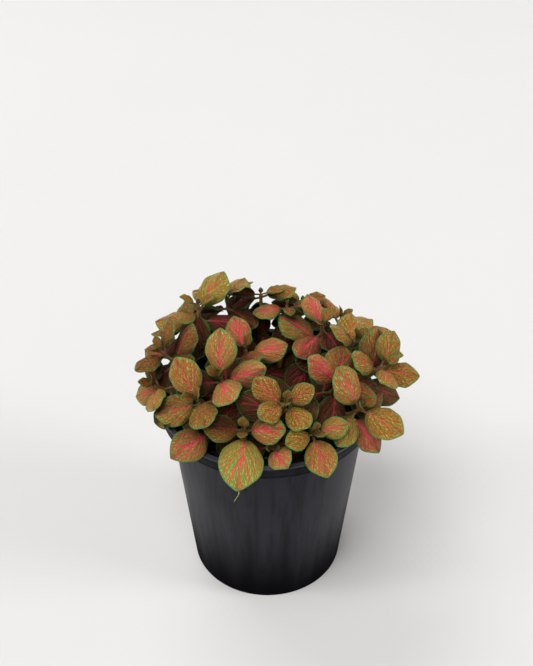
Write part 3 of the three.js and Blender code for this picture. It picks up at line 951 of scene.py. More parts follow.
def relief(leaf, row, side, look):
    """How far a leaf's surface stands off its plain form, in millimetres: ribs sunk, and puffs between."""
    out = np.abs(side)
    half = leaf.half * blade_outline(row)
    nearness = np.abs(vein_phase(row, side) % 1 - 0.5) * 2
    ripple = np.cos(out * PUFFS_ACROSS * math.pi + leaf.drift)
    puff = (1 - nearness**2) * (1 - PUFF_RIPPLE + PUFF_RIPPLE * ripple)
    rib = np.exp(-((side * half / RIB_GROOVE_WIDTH) ** 2))
    sunk = look.vein_depth * nearness**4 + look.rib_depth * rib * (1 - row)
    lobes = 4 * out * (1 - out) * look.lobe_height
    form = (1 - out**4) * (look.puff_height * puff - sunk + lobes)
    turns = WAVES_ALONG * row + WAVE_DRIFT * leaf.drift
    wave = look.edge_wave * out**3 * np.sin(2 * math.pi * turns + WAVE_SLANT * side)
    if leaf.rank > 0:
        headroom = np.clip((leaf.base[2] - RIM_TOP - RIM_HEADROOM) / HEADROOM_RANGE, 0, 1)
        wave = wave - look.edge_droop * headroom * out**DROOP_POWER
    soft_fold = np.sqrt(side**2 + FOLD_SOFTNESS**2) - FOLD_SOFTNESS - out
    standing = outline(row) * (form + wave) / MM * min(1, leaf.length / FULL_RELIEF_LENGTH)
    return standing + leaf.fold * half * soft_fold


def every_pair(rows, sides):
    """Each row with each side, row by row."""
    return [pairs.ravel() for pairs in np.meshgrid(rows, sides, indexing="ij")]


def blade_grid(leaf, rows, sides, lift=0):
    """Points on a leaf at each of some rows and sides, row by row."""
    row, side = every_pair(rows, sides)
    return leaf_points(leaf, row * leaf.length, side * leaf.half * outline(row), lift)


def spread_ways(facing, count):
    """Directions strewn evenly round the way that a leaf faces, fewer of them far from it."""
    number = np.arange(count)
    height = 1 - 2 * (number + 0.5) / count
    turn = number * math.pi * (3 - math.sqrt(5))
    ring = np.sqrt(1 - height**2)
    ways = np.stack([ring * np.cos(turn), ring * np.sin(turn), height], 1) + facing
    return ways / np.sqrt((ways**2).sum(1))[:, None]


def measure_cover(leaves):
    """Finds what share of the light from round about each part of each leaf loses to the leaves over it."""
    rows, sides = np.linspace(0, 1, COARSE_ROWS), np.linspace(-1, 1, COARSE_COLUMNS)
    corners, faces = [], []
    for leaf in leaves:
        first = len(corners)
        corners += blade_grid(leaf, rows, sides).tolist()
        for row in range(COARSE_ROWS - 1):
            for column in range(COARSE_COLUMNS - 1):
                at = first + row * COARSE_COLUMNS + column
                faces.append((at, at + 1, at + COARSE_COLUMNS + 1, at + COARSE_COLUMNS))
    tree = BVHTree.FromPolygons(corners, faces)
    for leaf in leaves:
        leaf.cover = []
        for spot in blade_grid(leaf, COVER_ROWS, COVER_SIDES, COVER_LIFT):
            ways = spread_ways(light_at(spot), COVER_WAYS)
            blocked = sum(tree.ray_cast(spot, way, COVER_REACH)[0] is not None for way in ways)
            leaf.cover.append(blocked / COVER_WAYS)


def cover_at(leaf, row, side):
    """A leaf's cover at any row and side, blended from the parts where it was measured."""
    rows, sides = every_pair(COVER_ROWS, COVER_SIDES)
    nearness = 1 / (COVER_BLEND + (2 * (row[:, None] - rows)) ** 2 + (side[:, None] - sides) ** 2)
    return nearness @ np.array(leaf.cover) / nearness.sum(1)


def lay_blade(blade, leaf, look):
    """Turns the flat unit leaf into one leaf of the plant."""
    mesh = blade.data
    flat = spots_of(mesh)
    row, side = kept_values(mesh, "row_side", 2).T
    thin = 1 - EDGE_THINNING * np.abs(side) ** 3
    thickness = look.thickness / MM * thin * (1 if leaf.rank else BUD_THINNESS)
    lift = relief(leaf, row, side, look) + flat[:, 2] * thickness
    put_spots(mesh, leaf_points(leaf, flat[:, 0] * leaf.length, flat[:, 1] * leaf.length, lift) * MM)
    spans = kept_values(mesh, "leaf_spans", 3) * [leaf.length, leaf.length, 1]
    keep_values(mesh, "leaf_spans", "FLOAT_VECTOR", spans)
    traits = np.tile(leaf.traits, (len(flat), 1))
    # Painted shade: the cover by other leaves darkens the leaf's colour, up to the deepest painted shade
    painted_cover_shade = COVER_PAINTED_SHADE * (cover_at(leaf, row, side) - COVER_FREE)
    traits[:, 3] = np.clip(traits[:, 3] + painted_cover_shade, 0, DEEPEST_PAINTED_SHADE)
    keep_values(mesh, "leaf_traits", "FLOAT_COLOR", traits)
    veins = np.zeros(len(mesh.loops) * 2, np.float32)
    mesh.uv_layers[0].data.foreach_get("uv", veins)
    veins[::2] += leaf.number * LEAVES_APART
    mesh.uv_layers[0].data.foreach_set("uv", veins)


def lay_stalk(stalk, leaf, look):
    """A stalk from the stem to the blade, running on under it as the raised rib of its back."""
    share = np.linspace(0, 1, LINE_STEPS)
    x = -leaf.reach + share * (leaf.reach + STALK_UNDER_BLADE * leaf.length)
    under = np.clip(x / (STALK_DIP * leaf.length), 0, 1)
    thick = look.stalk_radius / MM * min(1, leaf.length / LARGE_LEAF) ** STALK_GROWTH
    radii = thick * (1 - STALK_TAPER * np.clip(x / x[-1], 0, 1))
    drop = -(look.thickness / MM * 0.5 + radii * STALK_SINK) * under
    line = leaf_points(leaf, x, np.zeros(len(x)), drop)
    lay_tube(stalk, line, leaf.across, radii)


def stem_radius_at(run, look):
    """A stem's radius at a distance from its tip, in millimetres: slimmer towards the tip."""
    grown = np.clip(run / STEM_TAPER_RUN, 0, 1)
    return look.stem_radius / MM * (STEM_TIP_SHARE + (1 - STEM_TIP_SHARE) * grown)


def lay_stem(tube, stem, pair_runs, look):
    """Bends a tube into a stem with a rounded tip, swollen where each pair of leaves stands."""
    tip_way = stem.points[0] - stem.points[-1]
    sideways = unit(np.cross([0, 0, 1.0], [tip_way[0], tip_way[1], 0.0]))
    radii = stem_radius_at(stem.runs, look)
    radii = radii * np.clip(np.sqrt(stem.runs / STEM_END_ROUNDING), STEM_END_SHARE, 1)
    for run in pair_runs:
        radii = radii + NODE_SWELLING * np.exp(-(((stem.runs - run) / NODE_LENGTH) ** 2))
    lay_tube(tube, stem.points[::-1], sideways, radii[::-1])


def model_hair():
    """A pointed hair one unit long that stands on its root."""
    rest_all()
    middle = (0, 0, 0.5)
    bpy.ops.mesh.primitive_cone_add(
        vertices=HAIR_SIDES, radius1=1, radius2=HAIR_POINT, depth=1, location=middle, end_fill_type="NGON"
    )
    hair = named("hair_master")
    choose(hair)
    bpy.ops.object.transform_apply(location=True, rotation=False, scale=False)
    return hair


def stand_hair(hair, root, way, length):
    """Sets a hair on a stem at its root, pointing a way."""
    aside = unit(np.cross(way, NO_HAIRS_WAY))
    axes = np.array([aside * HAIR_RADIUS, np.cross(way, aside) * HAIR_RADIUS, way * length])
    put_spots(hair.data, (root + spots_of(hair.data) @ axes) * MM)


def stand_hairs(master, stem, look, draws):
    """A coat of short hairs all round a stem's upper part, leaning a little towards its tip."""
    coat = []
    for _ in range(look.hairs_per_stem):
        run = draws.uniform(*HAIRY_RUNS)
        at, axis = place_on_stem(stem, run)
        outward = unit(np.cross(axis, compass(draws.uniform(0, 360)) + SLIGHTLY_UP))
        way = unit(outward + axis * draws.uniform(*HAIR_LEANS))
        root = at + outward * stem_radius_at(run, look) * HAIR_ROOT
        hair = copy_of(master, "hair")
        stand_hair(hair, root, way, draws.uniform(*HAIR_LENGTHS))
        coat.append(hair)
    return coat


def label_of(leaf):
    """A leaf's shoot, counted from 1, its pair from the youngest, and which of the two it is."""
    return leaf.owner + 1, leaf.rank, leaf.second


def traits_of(leaf, draws):
    """A leaf's age, how far red floods it, how pink its veins are and how much painted shade darkens it,
    each from 0 to 1.
    """
    age = AGES[leaf.rank] + draws.uniform(-AGE_SPREAD, AGE_SPREAD)
    flush = draws.uniform(*FLUSHES)
    pink = draws.uniform(0.0, 1.0) * AGES[leaf.rank]
    # Painted shade: leaves low on the stems and at the back are darkened as if they lay in shade
    painted_shade = PAINTED_SHADE_BY_PAIR[leaf.rank] + draws.uniform(0, PAINTED_SHADE_SPREAD)
    if leaf.base[1] > BACK_FROM:
        painted_shade += BACK_PAINTED_SHADE
        age *= BACK_AGE
        pink *= BACK_PINK
    drawn = (max(0, min(1, age)), flush, pink, min(1, painted_shade))
    return LOOKS.get(label_of(leaf), drawn)


def bud_scales(stem, pair_turn, number):
    """The two scales that close a growing tip, crosswise to the youngest pair."""
    at, axis = place_on_stem(stem, BUD_SCALE_RUN)
    scales = []
    for second in (0, 1):
        turn = pair_turn + 90 + 180 * second
        scale = make_leaf(at, axis, turn, BUD_SCALE_LIFT, 0, BUD_SCALE_LENGTH, 0)
        scale.base = at + scale.along * BUD_SCALE_REACH
        scale.number = number
        scale.drift = 0
        scale.traits = BUD_SCALE_LOOK
        scale.cover = [COVER_FREE] * len(COVER_ROWS) * len(COVER_SIDES)
        scales.append(scale)
    return scales


def foliage_masters(look):
    """One leaf, bud leaf, stem, stalk and hair, each with its finishes, to be copied and then shaped."""
    masters = SimpleNamespace(
        leaf=model_blade("leaf_master", BLADE_ROWS, BLADE_COLUMNS),
        bud=model_blade("bud_leaf_master", BUD_ROWS, BUD_COLUMNS),
        stem=model_tube("stem_master", STEM_SIDES, STEM_RINGS),
        stalk=model_tube("stalk_master", STALK_SIDES, STALK_RINGS),
        hair=model_hair(),
    )
    face, back, skin = leaf_face_finish(look), leaf_back_finish(look), stem_finish(look)
    for blade in (masters.leaf, masters.bud):
        blade.data.materials.append(face)
        blade.data.materials.append(back)
    for thing in (masters.stem, masters.stalk, masters.hair):
        thing.data.materials.append(skin)
    return masters


def grow_foliage(look):
    """Every leafy stem as one piece, in place of its node."""
    masters = foliage_masters(look)
    stems, leaves = whole_plant()
    draws = random.Random(LOOK_SEED)
    for number, leaf in enumerate(leaves):
        leaf.number = number
        leaf.drift = draws.uniform(0, DRIFT_RANGE)
        leaf.traits = traits_of(leaf, draws)
    measure_cover(leaves)
    for owner, stem in enumerate(stems):
        pairs = SHOOTS[owner][2]
        pieces = [copy_of(masters.stem, "stem")]
        lay_stem(pieces[0], stem, np.cumsum(INTERNODES[: len(pairs)]), look)
        for leaf in leaves:
            if leaf.owner == owner:
                blade = copy_of(masters.leaf if leaf.rank else masters.bud, "blade")
                lay_blade(blade, leaf, look)
                stalk = copy_of(masters.stalk, "stalk")
                lay_stalk(stalk, leaf, look)
                pieces += [blade, stalk]
        for scale in bud_scales(stem, pairs[0][0], len(leaves) + owner):
            blade = copy_of(masters.bud, "blade")
            lay_blade(blade, scale, look)
            pieces.append(blade)
        pieces += stand_hairs(masters.hair, stem, look, draws)
        label = f"{owner + 1:02d}"
        piece = join(f"foliage_{label}", pieces)
        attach(piece, BODY)
        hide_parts(f"leafy_stem_{label}")
    discard(*vars(masters).values())


# The pot, in metres, its outside worked out from its node
POT_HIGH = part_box("pot")[1]
POT_SIDES = 128
NECK_SHARE = 0.915
BASE_SHARE = 0.746
BAND_SHARE = 0.0654
LIP_WIDTH = 0.003
POT_WALL = 0.0015
POT_FLOOR = 0.002
EDGE_ROUNDING = 0.0007
ROUNDED_ANGLE = 50
SMOOTH_ANGLE = 35
RING_UNDER_BAND = 0.004
BAND_FOOT_INSET = 0.001
BAND_LINE_INSETS = (0.0008, 0.0006)
BAND_LINE_HEIGHT = 0.0016
BAND_LINE_WIDTH = 0.0006
BAND_LINE_DEPTH = 0.00035
LIP_CORNER = 0.0002
DRAIN_HOLES = 8
DRAIN_HOLE_SIDES = 24
DRAIN_HOLE_RADIUS = 0.0035
DRAIN_RING_RADIUS = 0.036

# The potting mix, in metres
MIX_CLEARANCE = 0.0004
MIX_RINGS = 12
MIX_MIDDLE = 1.5
MIX_SIDES = 72
MIX_EDGE = 0.001
MIX_SMOOTH_ANGLE = 40
CLOD_SIZE = 0.007
CLOD_HEIGHT = 0.0016

# Grains of the mix: length, width and thickness in metres, roughness, and share of the whole
GRAINS = {
    "peat": ((0.0024, 0.002, 0.0015), 0.25, 0.76),
    "bark": ((0.0062, 0.0026, 0.0012), 0.15, 0.18),
    "perlite": ((0.0017, 0.0016, 0.0014), 0.12, 0.06),
}
MIX_SEED = 8
GRAIN_MARGIN = 0.003
GRAIN_TIPPING = (-0.5, 0.5)
GRAIN_SIZES = (0.7, 1.3)
GRAIN_HEIGHTS = (-0.0002, 0.0012)

# The stray thread under the large front leaf, in millimetres
THREAD_LEAF = (4, 2, 0)
THREAD_FROM = 0.93
THREAD_UNDER_LEAF = 0.3
THREAD_SIDES = 8
THREAD_RINGS = 30
THREAD_RADIUS = 0.28
THREAD_TAPER = 0.45
THREAD_END = (-0.4, -2.2, -9)
THREAD_SWAY = 1.2
THREAD_BENDS = 1.4


def pot_outline(pot):
    """The pot's ring radii and heights: up its outside, over the lip and down to the middle of its floor."""
    band = pot.height - pot.band_height
    wall = (pot.neck_radius - pot.base_radius) / band
    line = band + BAND_LINE_HEIGHT
    under_line, over_line = (pot.rim_radius - inset for inset in BAND_LINE_INSETS)
    return [
        (pot.base_radius, 0),
        (pot.neck_radius - wall * RING_UNDER_BAND, band - RING_UNDER_BAND),
        (pot.neck_radius, band),
        (pot.rim_radius - BAND_FOOT_INSET, band),
        (under_line, line),
        (under_line - BAND_LINE_DEPTH, line + BAND_LINE_WIDTH / 2),
        (over_line, line + BAND_LINE_WIDTH),
        (pot.rim_radius, pot.height - LIP_CORNER),
        (pot.rim_radius - LIP_CORNER, pot.height),
        (pot.rim_radius - pot.lip_width, pot.height),
        (pot.neck_radius - POT_WALL, band),
        (pot.base_radius + wall * POT_FLOOR - POT_WALL, POT_FLOOR),
    ]


def raise_ring(here, there):
    """Extrudes the chosen face or edge ring from one radius and height to the next."""
    rise = {"value": (0, 0, there[1] - here[1])}
    bpy.ops.mesh.extrude_region_move(TRANSFORM_OT_translate=rise)
    width = there[0] / here[0]
    bpy.ops.transform.resize(value=(width, width, 1), center_override=(0, 0, there[1]))


def model_pot(pot):
    """The pot, drawn up from its foot ring by ring, over its lip and down inside."""
    rest_all()
    rings = pot_outline(pot)
    bpy.ops.mesh.primitive_circle_add(vertices=POT_SIDES, radius=rings[0][0], fill_type="NGON")
    made = named("nursery_pot")
    with editing(made):
        bpy.ops.mesh.select_all(action="SELECT")
        for here, there in zip(rings, rings[1:]):
            raise_ring(here, there)
        bpy.ops.mesh.select_all(action="SELECT")
        bpy.ops.mesh.normals_make_consistent(inside=False)
    rounding = made.modifiers.new("Rounding", "BEVEL")
    rounding.width = EDGE_ROUNDING
    rounding.segments = 3
    rounding.limit_method = "ANGLE"
    rounding.angle_limit = math.radians(ROUNDED_ANGLE)
    apply_modifiers(made)
    cut_drain_holes(made)
    choose(made)
    bpy.ops.object.shade_smooth_by_angle(angle=math.radians(SMOOTH_ANGLE))
    return made


def cut_drain_holes(made):
    """Cuts a ring of round holes through the pot's floor."""
    rest_all()
    drills = []
    for hole in range(DRAIN_HOLES):
        turn = 2 * math.pi * hole / DRAIN_HOLES
        at = (DRAIN_RING_RADIUS * math.cos(turn), DRAIN_RING_RADIUS * math.sin(turn), POT_FLOOR / 2)
        bpy.ops.mesh.primitive_cylinder_add(
            vertices=DRAIN_HOLE_SIDES, radius=DRAIN_HOLE_RADIUS, depth=POT_FLOOR * 3, location=at
        )
        drills.append(bpy.context.object)
    drill = join("drain_drill", drills)
    cut = made.modifiers.new("Drain holes", "BOOLEAN")
    cut.object = drill
    cut.solver = "EXACT"
    apply_modifiers(made)
    discard(drill)


def pot_finish(pot):
    """Satin black moulded plastic: faint upright flow streaks, a foot made duller and darker as painted
    shade, a duller band, and a paler lip that is a painted highlight.
    """
    f = Finish("pot_plastic")
    here = f.place()
    _, _, height = f.parts(here)
    flow = f.noise(f.place((1, 1, 0.06)), 260.0, 4.0, 0.6)
    broad = f.noise(f.place((1, 1, 0.05)), 60.0)
    grain = f.noise(here, 2400.0)
    # Painted highlight: the top of the lip is painted paler
    lip = f.fade(height, pot.height - 0.0012, pot.height - 0.0004)
    shade = f.fade(flow * 0.6 + broad * 0.4, 0.35, 0.68)
    colour = f.blend(lip * 0.6, f.blend(shade, pot.streak_and_painted_shade_colour, pot.colour), pot.painted_lip_highlight)
    bump = f.bump(flow * 0.8 + grain * 0.12, 0.00025, 0.35)
    satin = f.shader(
        Base_Color=colour,
        Roughness=0.3 + flow * 0.24 - lip * 0.06,
        Specular_IOR_Level=pot.gloss,
        Specular_Tint=(0.83, 0.82, 1, 1),
        Normal=bump,
    )
    # Painted shade at the foot: dark plastic that hardly reflects; the band also takes some of it
    painted_shade_dull = f.shader(
        Base_Color=paint(pot.streak_and_painted_shade_colour),
        Roughness=0.9,
        Specular_IOR_Level=0.02,
        Normal=bump,
    )
    # The painted foot shade fades out up the wall
    satin_above_painted_foot_shade = f.fade(height + broad * 0.03, 0.015, 0.095)
    band_foot = pot.height - pot.band_height
    band = f.fade(height, band_foot - 0.001, band_foot)
    share = satin_above_painted_foot_shade * (0.75 + shade * 0.4) * (1 - band * 0.55 + lip)
    return f.done(f.node("ShaderNodeMixShader", sockets={0: share, 1: painted_shade_dull, 2: satin}).outputs[0])


def build_pot(pot):
    made = model_pot(pot)
    made.data.materials.append(pot_finish(pot))
    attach(made, BODY)
    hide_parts("pot")


def mix_radius(pot, z):
    """The mix's radius at a height: the pot's inside less a little."""
    share = z / (pot.height - pot.band_height)
    return pot.base_radius + (pot.neck_radius - pot.base_radius) * share - POT_WALL - MIX_CLEARANCE


def raise_clods(bed, wide, top):
    """Lumps all over the top of the mix, save at the pot's wall."""
    spots = spots_of(bed.data)
    inside = np.hypot(spots[:, 0], spots[:, 1]) < wide - MIX_EDGE
    high = spots[:, 2] > top - MIX_EDGE
    bed.vertex_groups.new(name="Top").add(np.flatnonzero(inside & high).tolist(), 1.0, "REPLACE")
    clouds = bpy.data.textures.new("Clods", type="CLOUDS")
    clouds.noise_scale = CLOD_SIZE
    lumps = bed.modifiers.new("Clods", "DISPLACE")
    lumps.texture = clouds
    lumps.texture_coords = "LOCAL"
    lumps.direction = "Z"
    lumps.strength = CLOD_HEIGHT * 2
    lumps.mid_level = 0.5
    lumps.vertex_group = "Top"
    apply_modifiers(bed)


def model_mix_bed(pot, top):
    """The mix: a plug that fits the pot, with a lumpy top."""
    rest_all()
    foot = POT_FLOOR + MIX_CLEARANCE
    wide = mix_radius(pot, top)
    bpy.ops.mesh.primitive_cylinder_add(
        vertices=MIX_SIDES, radius=wide, depth=top - foot, location=(0, 0, (top + foot) / 2)
    )
    bed = named("mix_bed")
    choose(bed)
    bpy.ops.object.transform_apply(location=True, rotation=False, scale=False)
    spots = spots_of(bed.data)
    narrow = mix_radius(pot, foot) / wide
    spots[spots[:, 2] < top / 2, :2] *= narrow
    put_spots(bed.data, spots)
    with editing(bed):
        bpy.ops.mesh.select_mode(type="FACE")
        bpy.ops.mesh.select_all(action="DESELECT")
    bed.data.polygons.foreach_set("select", [face.normal.z > 0.9 for face in bed.data.polygons])
    with editing(bed):
        for _ in range(MIX_RINGS):
            bpy.ops.mesh.inset(thickness=wide / (MIX_RINGS + MIX_MIDDLE))
        bpy.ops.mesh.poke()
    raise_clods(bed, wide, top)
    choose(bed)
    bpy.ops.object.shade_smooth_by_angle(angle=math.radians(MIX_SMOOTH_ANGLE))
    return bed


def model_grain(name, size, draws, roughness):
    """One grain of the mix: a ball pulled into a rough lump of a length, width and thickness."""
    rest_all()
    bpy.ops.mesh.primitive_ico_sphere_add(subdivisions=2, radius=0.5)
    grain = named(name)
    with editing(grain):
        bpy.ops.mesh.select_all(action="SELECT")
        bpy.ops.mesh.bisect(plane_co=(0, 0, -0.2), plane_no=(0.2, 0.1, -1), use_fill=True, clear_outer=True)
    spots = spots_of(grain.data)
    rough = [1 + draws.uniform(-roughness, roughness) for _ in range(len(spots))]
    put_spots(grain.data, spots * np.array(rough)[:, None] * size)
    return grain


def axes_of(spin, tip):
    """The axes of a grain that is tipped over and then spun about the upright."""
    spun = [[math.cos(spin), -math.sin(spin), 0], [math.sin(spin), math.cos(spin), 0], [0, 0, 1]]
    tipped = [[1, 0, 0], [0, math.cos(tip), -math.sin(tip)], [0, math.sin(tip), math.cos(tip)]]
    return (np.array(spun) @ np.array(tipped)).T


def scatter_grains(pot, top, masters, count, draws):
    """Copies of the grains, strewn over the top of the mix and half sunk in it."""
    strewn = []
    reach = mix_radius(pot, top) - GRAIN_MARGIN
    shares = [share for _, _, share in GRAINS.values()]
    for _ in range(count):
        grain = copy_of(draws.choices(masters, shares)[0], "grain")
        turn = draws.uniform(0, 2 * math.pi)
        out = reach * math.sqrt(draws.random())
        spin = draws.uniform(0, 2 * math.pi)
        tip = draws.uniform(*GRAIN_TIPPING)
        spots = spots_of(grain.data) * draws.uniform(*GRAIN_SIZES)
        at = [out * math.cos(turn), out * math.sin(turn), top + draws.uniform(*GRAIN_HEIGHTS)]
        put_spots(grain.data, spots @ axes_of(spin, tip) + at)
        strewn.append(grain)
    return strewn


def mix_finish(name, colour, second_colour):
    """Rough crumbs in two colours, in patches."""
    f = Finish(name)
    here = f.place()
    patch = f.fade(f.noise(here, 420.0, 5.0, 0.7), 0.35, 0.65)
    crumb = f.cells(here, 1300.0, "F1", "3D")
    return f.surface(
        Base_Color=f.blend(patch, colour, second_colour),
        Roughness=0.95 - patch * 0.15,
        Specular_IOR_Level=0.25,
        Normal=f.bump(crumb + patch * 0.5, 0.0006, 0.9),
    )


def fill_mix(pot, mix):
    """The potting mix with its loose grains, in place of its node."""
    finishes = {
        "peat": mix_finish("potting_mix", mix.colour, mix.dry_colour),
        "bark": mix_finish("bark_chip", mix.bark_colour, mix.dry_colour),
        "perlite": mix_finish("perlite", mix.perlite_colour, mix.perlite_colour),
    }
    bed = model_mix_bed(pot, mix.top)
    bed.data.materials.append(finishes["peat"])
    draws = random.Random(MIX_SEED)
    masters = []
    for name, (size, roughness, _) in GRAINS.items():
        grain = model_grain(f"{name}_master", size, draws, roughness)
        grain.data.materials.append(finishes[name])
        masters.append(grain)
    grains = scatter_grains(pot, mix.top, masters, mix.grains, draws)
    made = join("potting_mix_bed", [bed, *grains])
    discard(*masters)
    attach(made, BODY)
    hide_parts("potting_mix")


def thread_finish(look):
    """A dry, pale yellow-green fibre, olive in patches."""
    f = Finish("dry_thread")
    patch = f.fade(f.noise(f.place(), 900.0), 0.35, 0.65)
    grain = f.noise(f.place((1, 1, 0.2)), 4000.0)
    return f.surface(
        Base_Color=f.blend(patch, look.thread, look.stem),
        Roughness=0.6,
        Normal=f.bump(grain, 0.00008, 0.6),
    )


def hang_thread(look):
    """The thin pale thread that hangs from under the large front leaf."""
    _, leaves = whole_plant()
    leaf = next(leaf for leaf in leaves if label_of(leaf) == THREAD_LEAF)
    near_tip = np.array([THREAD_FROM * leaf.length])
    start = leaf_points(leaf, near_tip, np.zeros(1), -THREAD_UNDER_LEAF)[0]
    share = np.linspace(0, 1, LINE_STEPS)
    sway = THREAD_SWAY * np.sin(share * math.pi * THREAD_BENDS)
    line = start + np.outer(share, THREAD_END) + np.outer(sway, [1, 0, 0])
    thread = model_tube("stray_thread", THREAD_SIDES, THREAD_RINGS)
    lay_tube(thread, line, np.array([0.0, 1.0, 0.0]), THREAD_RADIUS * (1 - THREAD_TAPER * share))
    thread.data.materials.append(thread_finish(look))
    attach(thread, BODY)


# The stage, in metres and degrees, with the photo's height, focal length and rim's place in its pixels
PHOTO_HEIGHT = 666
CAMERA_DISTANCE = 0.585
CAMERA_TILT = 40.1
CAMERA_FOCAL_PIXELS = 978
CAMERA_NEAR = 0.01
SENSOR_WIDTH = 36
RIM_RIGHT_OF_MIDDLE = 0.9
RIM_BELOW_MIDDLE = 60
FLOOR_RADIUS = 2.4
FLOOR_CURVE = 0.9
FLOOR_CURVE_STEPS = 10
FLOOR_SIDES = 96
WALL_TOP = 1.5
FLOOR_MOTTLE_COLOUR = (0.9, 0.9, 0.9)
KEY_HEADING = (0.3, 0.4, -1)
KEY_SPREAD = 38

# Softboxes: place, width and height, height of the point aimed at, and the power's setting and share of it
SOFTBOXES = {
    "top_softbox": ((-0.85, 1.3, 2.5), (1.7, 1.2), 0.11, "top_light", 1),
    "right_strip": ((2.05, -0.45, 0.8), (0.7, 2), 0.06, "strip_light", 1),
    "left_strip": ((-2.1, -0.4, 0.9), (0.5, 2), 0.06, "strip_light", 0.55),
}


def floor_finish(stage):
    """Plain pale matt paint, hardly mottled."""
    f = Finish("plain_floor")
    mottle = f.noise(f.place(), 3.0)
    return f.surface(
        Base_Color=f.blend(mottle * 0.15, stage.floor_colour, FLOOR_MOTTLE_COLOUR),
        Roughness=0.9,
        Specular_IOR_Level=0.1,
    )


def lay_floor(stage):
    """A plain floor that curves up into a wall all round, far from the plant."""
    rest_all()
    bpy.ops.mesh.primitive_circle_add(vertices=FLOOR_SIDES, radius=FLOOR_RADIUS, fill_type="NGON")
    floor = named("floor")
    with editing(floor):
        bpy.ops.mesh.select_all(action="SELECT")
        here = (FLOOR_RADIUS, 0)
        for step in range(1, FLOOR_CURVE_STEPS + 1):
            turn = step / FLOOR_CURVE_STEPS * math.pi / 2
            there = (FLOOR_RADIUS + FLOOR_CURVE * math.sin(turn), FLOOR_CURVE * (1 - math.cos(turn)))
            raise_ring(here, there)
            here = there
        raise_ring(here, (here[0], WALL_TOP))
        bpy.ops.mesh.delete(type="ONLY_FACE")
    bpy.ops.object.shade_smooth()
    floor.data.materials.append(floor_finish(stage))


def aim(thing, target):
    """Turns a camera or light at its place so that it looks at a point."""
    thing.rotation_euler = (Vector(target) - thing.location).to_track_quat("-Z", "Y").to_euler()


def hang_softbox(name, place, size, power, aim_height):
    """A softbox that is aimed at a height on the pot's axis."""
    rest_all()
    bpy.ops.object.light_add(type="AREA", location=place)
    light = bpy.context.object
    light.name = light.data.name = name
    light.data.shape = "RECTANGLE"
    light.data.size, light.data.size_y = size
    light.data.energy = power
    light.visible_camera = False
    aim(light, (0, 0, aim_height))


def shine_key(strength):
    """The main light, as even as a great softbox, from high up and from the left of the camera."""
    rest_all()
    bpy.ops.object.light_add(type="SUN", location=(0, 0, 2))
    key = bpy.context.object
    key.name = key.data.name = "key_softbox"
    key.data.energy = strength
    key.data.angle = math.radians(KEY_SPREAD)
    key.rotation_euler = Vector(KEY_HEADING).to_track_quat("-Z", "Y").to_euler()


def set_camera():
    """The photo's view: down on the rim from the front, with the rim a little under the middle."""
    rest_all()
    tilt = math.radians(CAMERA_TILT)
    rim = Vector((0, 0, POT_HIGH.z))
    place = rim + CAMERA_DISTANCE * Vector((0, -math.cos(tilt), math.sin(tilt)))
    bpy.ops.object.camera_add(location=place)
    camera = bpy.context.object
    camera.name = "photo_view"
    camera.data.sensor_width = SENSOR_WIDTH
    camera.data.lens = CAMERA_FOCAL_PIXELS / PHOTO_HEIGHT * SENSOR_WIDTH
    camera.data.shift_x = -RIM_RIGHT_OF_MIDDLE / PHOTO_HEIGHT
    camera.data.shift_y = RIM_BELOW_MIDDLE / PHOTO_HEIGHT
    camera.data.clip_start = CAMERA_NEAR
    aim(camera, rim)
    bpy.context.scene.camera = camera


def light_room(stage):
    """Even light from all round."""
    world = bpy.data.worlds.new("pale_room")
    world.use_nodes = True
    backdrop = world.node_tree.nodes["Background"]
    backdrop.inputs["Color"].default_value = paint(stage.room_colour)
    backdrop.inputs["Strength"].default_value = stage.room_light
    bpy.context.scene.world = world


def set_stage(stage):
    lay_floor(stage)
    light_room(stage)
    shine_key(stage.key_light)
    for name, (place, size, aim_height, setting, share) in SOFTBOXES.items():
        hang_softbox(name, place, size, getattr(stage, setting) * share, aim_height)
    bpy.context.scene.view_settings.view_transform = "Standard"
    set_camera()


def a_length(name, default, description):
    return bpy.props.FloatProperty(
        name=name, description=description, default=default, min=0.0, precision=5, unit="LENGTH"
    )


def a_share(name, default, description):
    return bpy.props.FloatProperty(
        name=name, description=description, default=default, min=0.0, max=1.0, subtype="FACTOR"
    )


def a_colour(name, default, description):
    return bpy.props.FloatVectorProperty(
        name=name, description=description, default=default, min=0.0, max=1.0, size=3, subtype="COLOR"
    )


def a_count(name, default, highest, description):
    return bpy.props.IntProperty(
        name=name, description=description, default=default, min=0, max=highest
    )


def a_strength(name, default, description, unit="NONE"):
    return bpy.props.FloatProperty(
        name=name, description=description, default=default, min=0.0, unit=unit
    )


class NervePlantPot(bpy.types.PropertyGroup):
    """The nursery pot's sizes and colours."""

    height: a_length("Height", POT_HIGH.z, "From the surface that the pot stands on to its lip")
    rim_radius: a_length("Rim radius", POT_HIGH.x, "Outside of the rim band")
    neck_radius: a_length("Neck radius", POT_HIGH.x * NECK_SHARE, "Outside of the wall under the rim band")
    base_radius: a_length("Base radius", POT_HIGH.x * BASE_SHARE, "Outside of the wall at the bottom")
    band_height: a_length("Band height", POT_HIGH.z * BAND_SHARE, "Height of the rim band")
    lip_width: a_length("Lip width", LIP_WIDTH, "Width of the flat lip on top")
    colour: a_colour("Plastic", (0.011, 0.0105, 0.017), "The plastic where it is palest")
    # The streak colour is also the colour of the painted shade at the foot
    streak_and_painted_shade_colour: a_colour("Plastic streaks", (0.003, 0.003, 0.0045), "The plastic's darker flow streaks")
    # The lip's paler colour is a painted highlight
    painted_lip_highlight: a_colour("Lip", (0.075, 0.075, 0.085), "The rubbed top of the lip")
    gloss: a_share("Gloss", 0.21, "How strongly the plastic reflects")


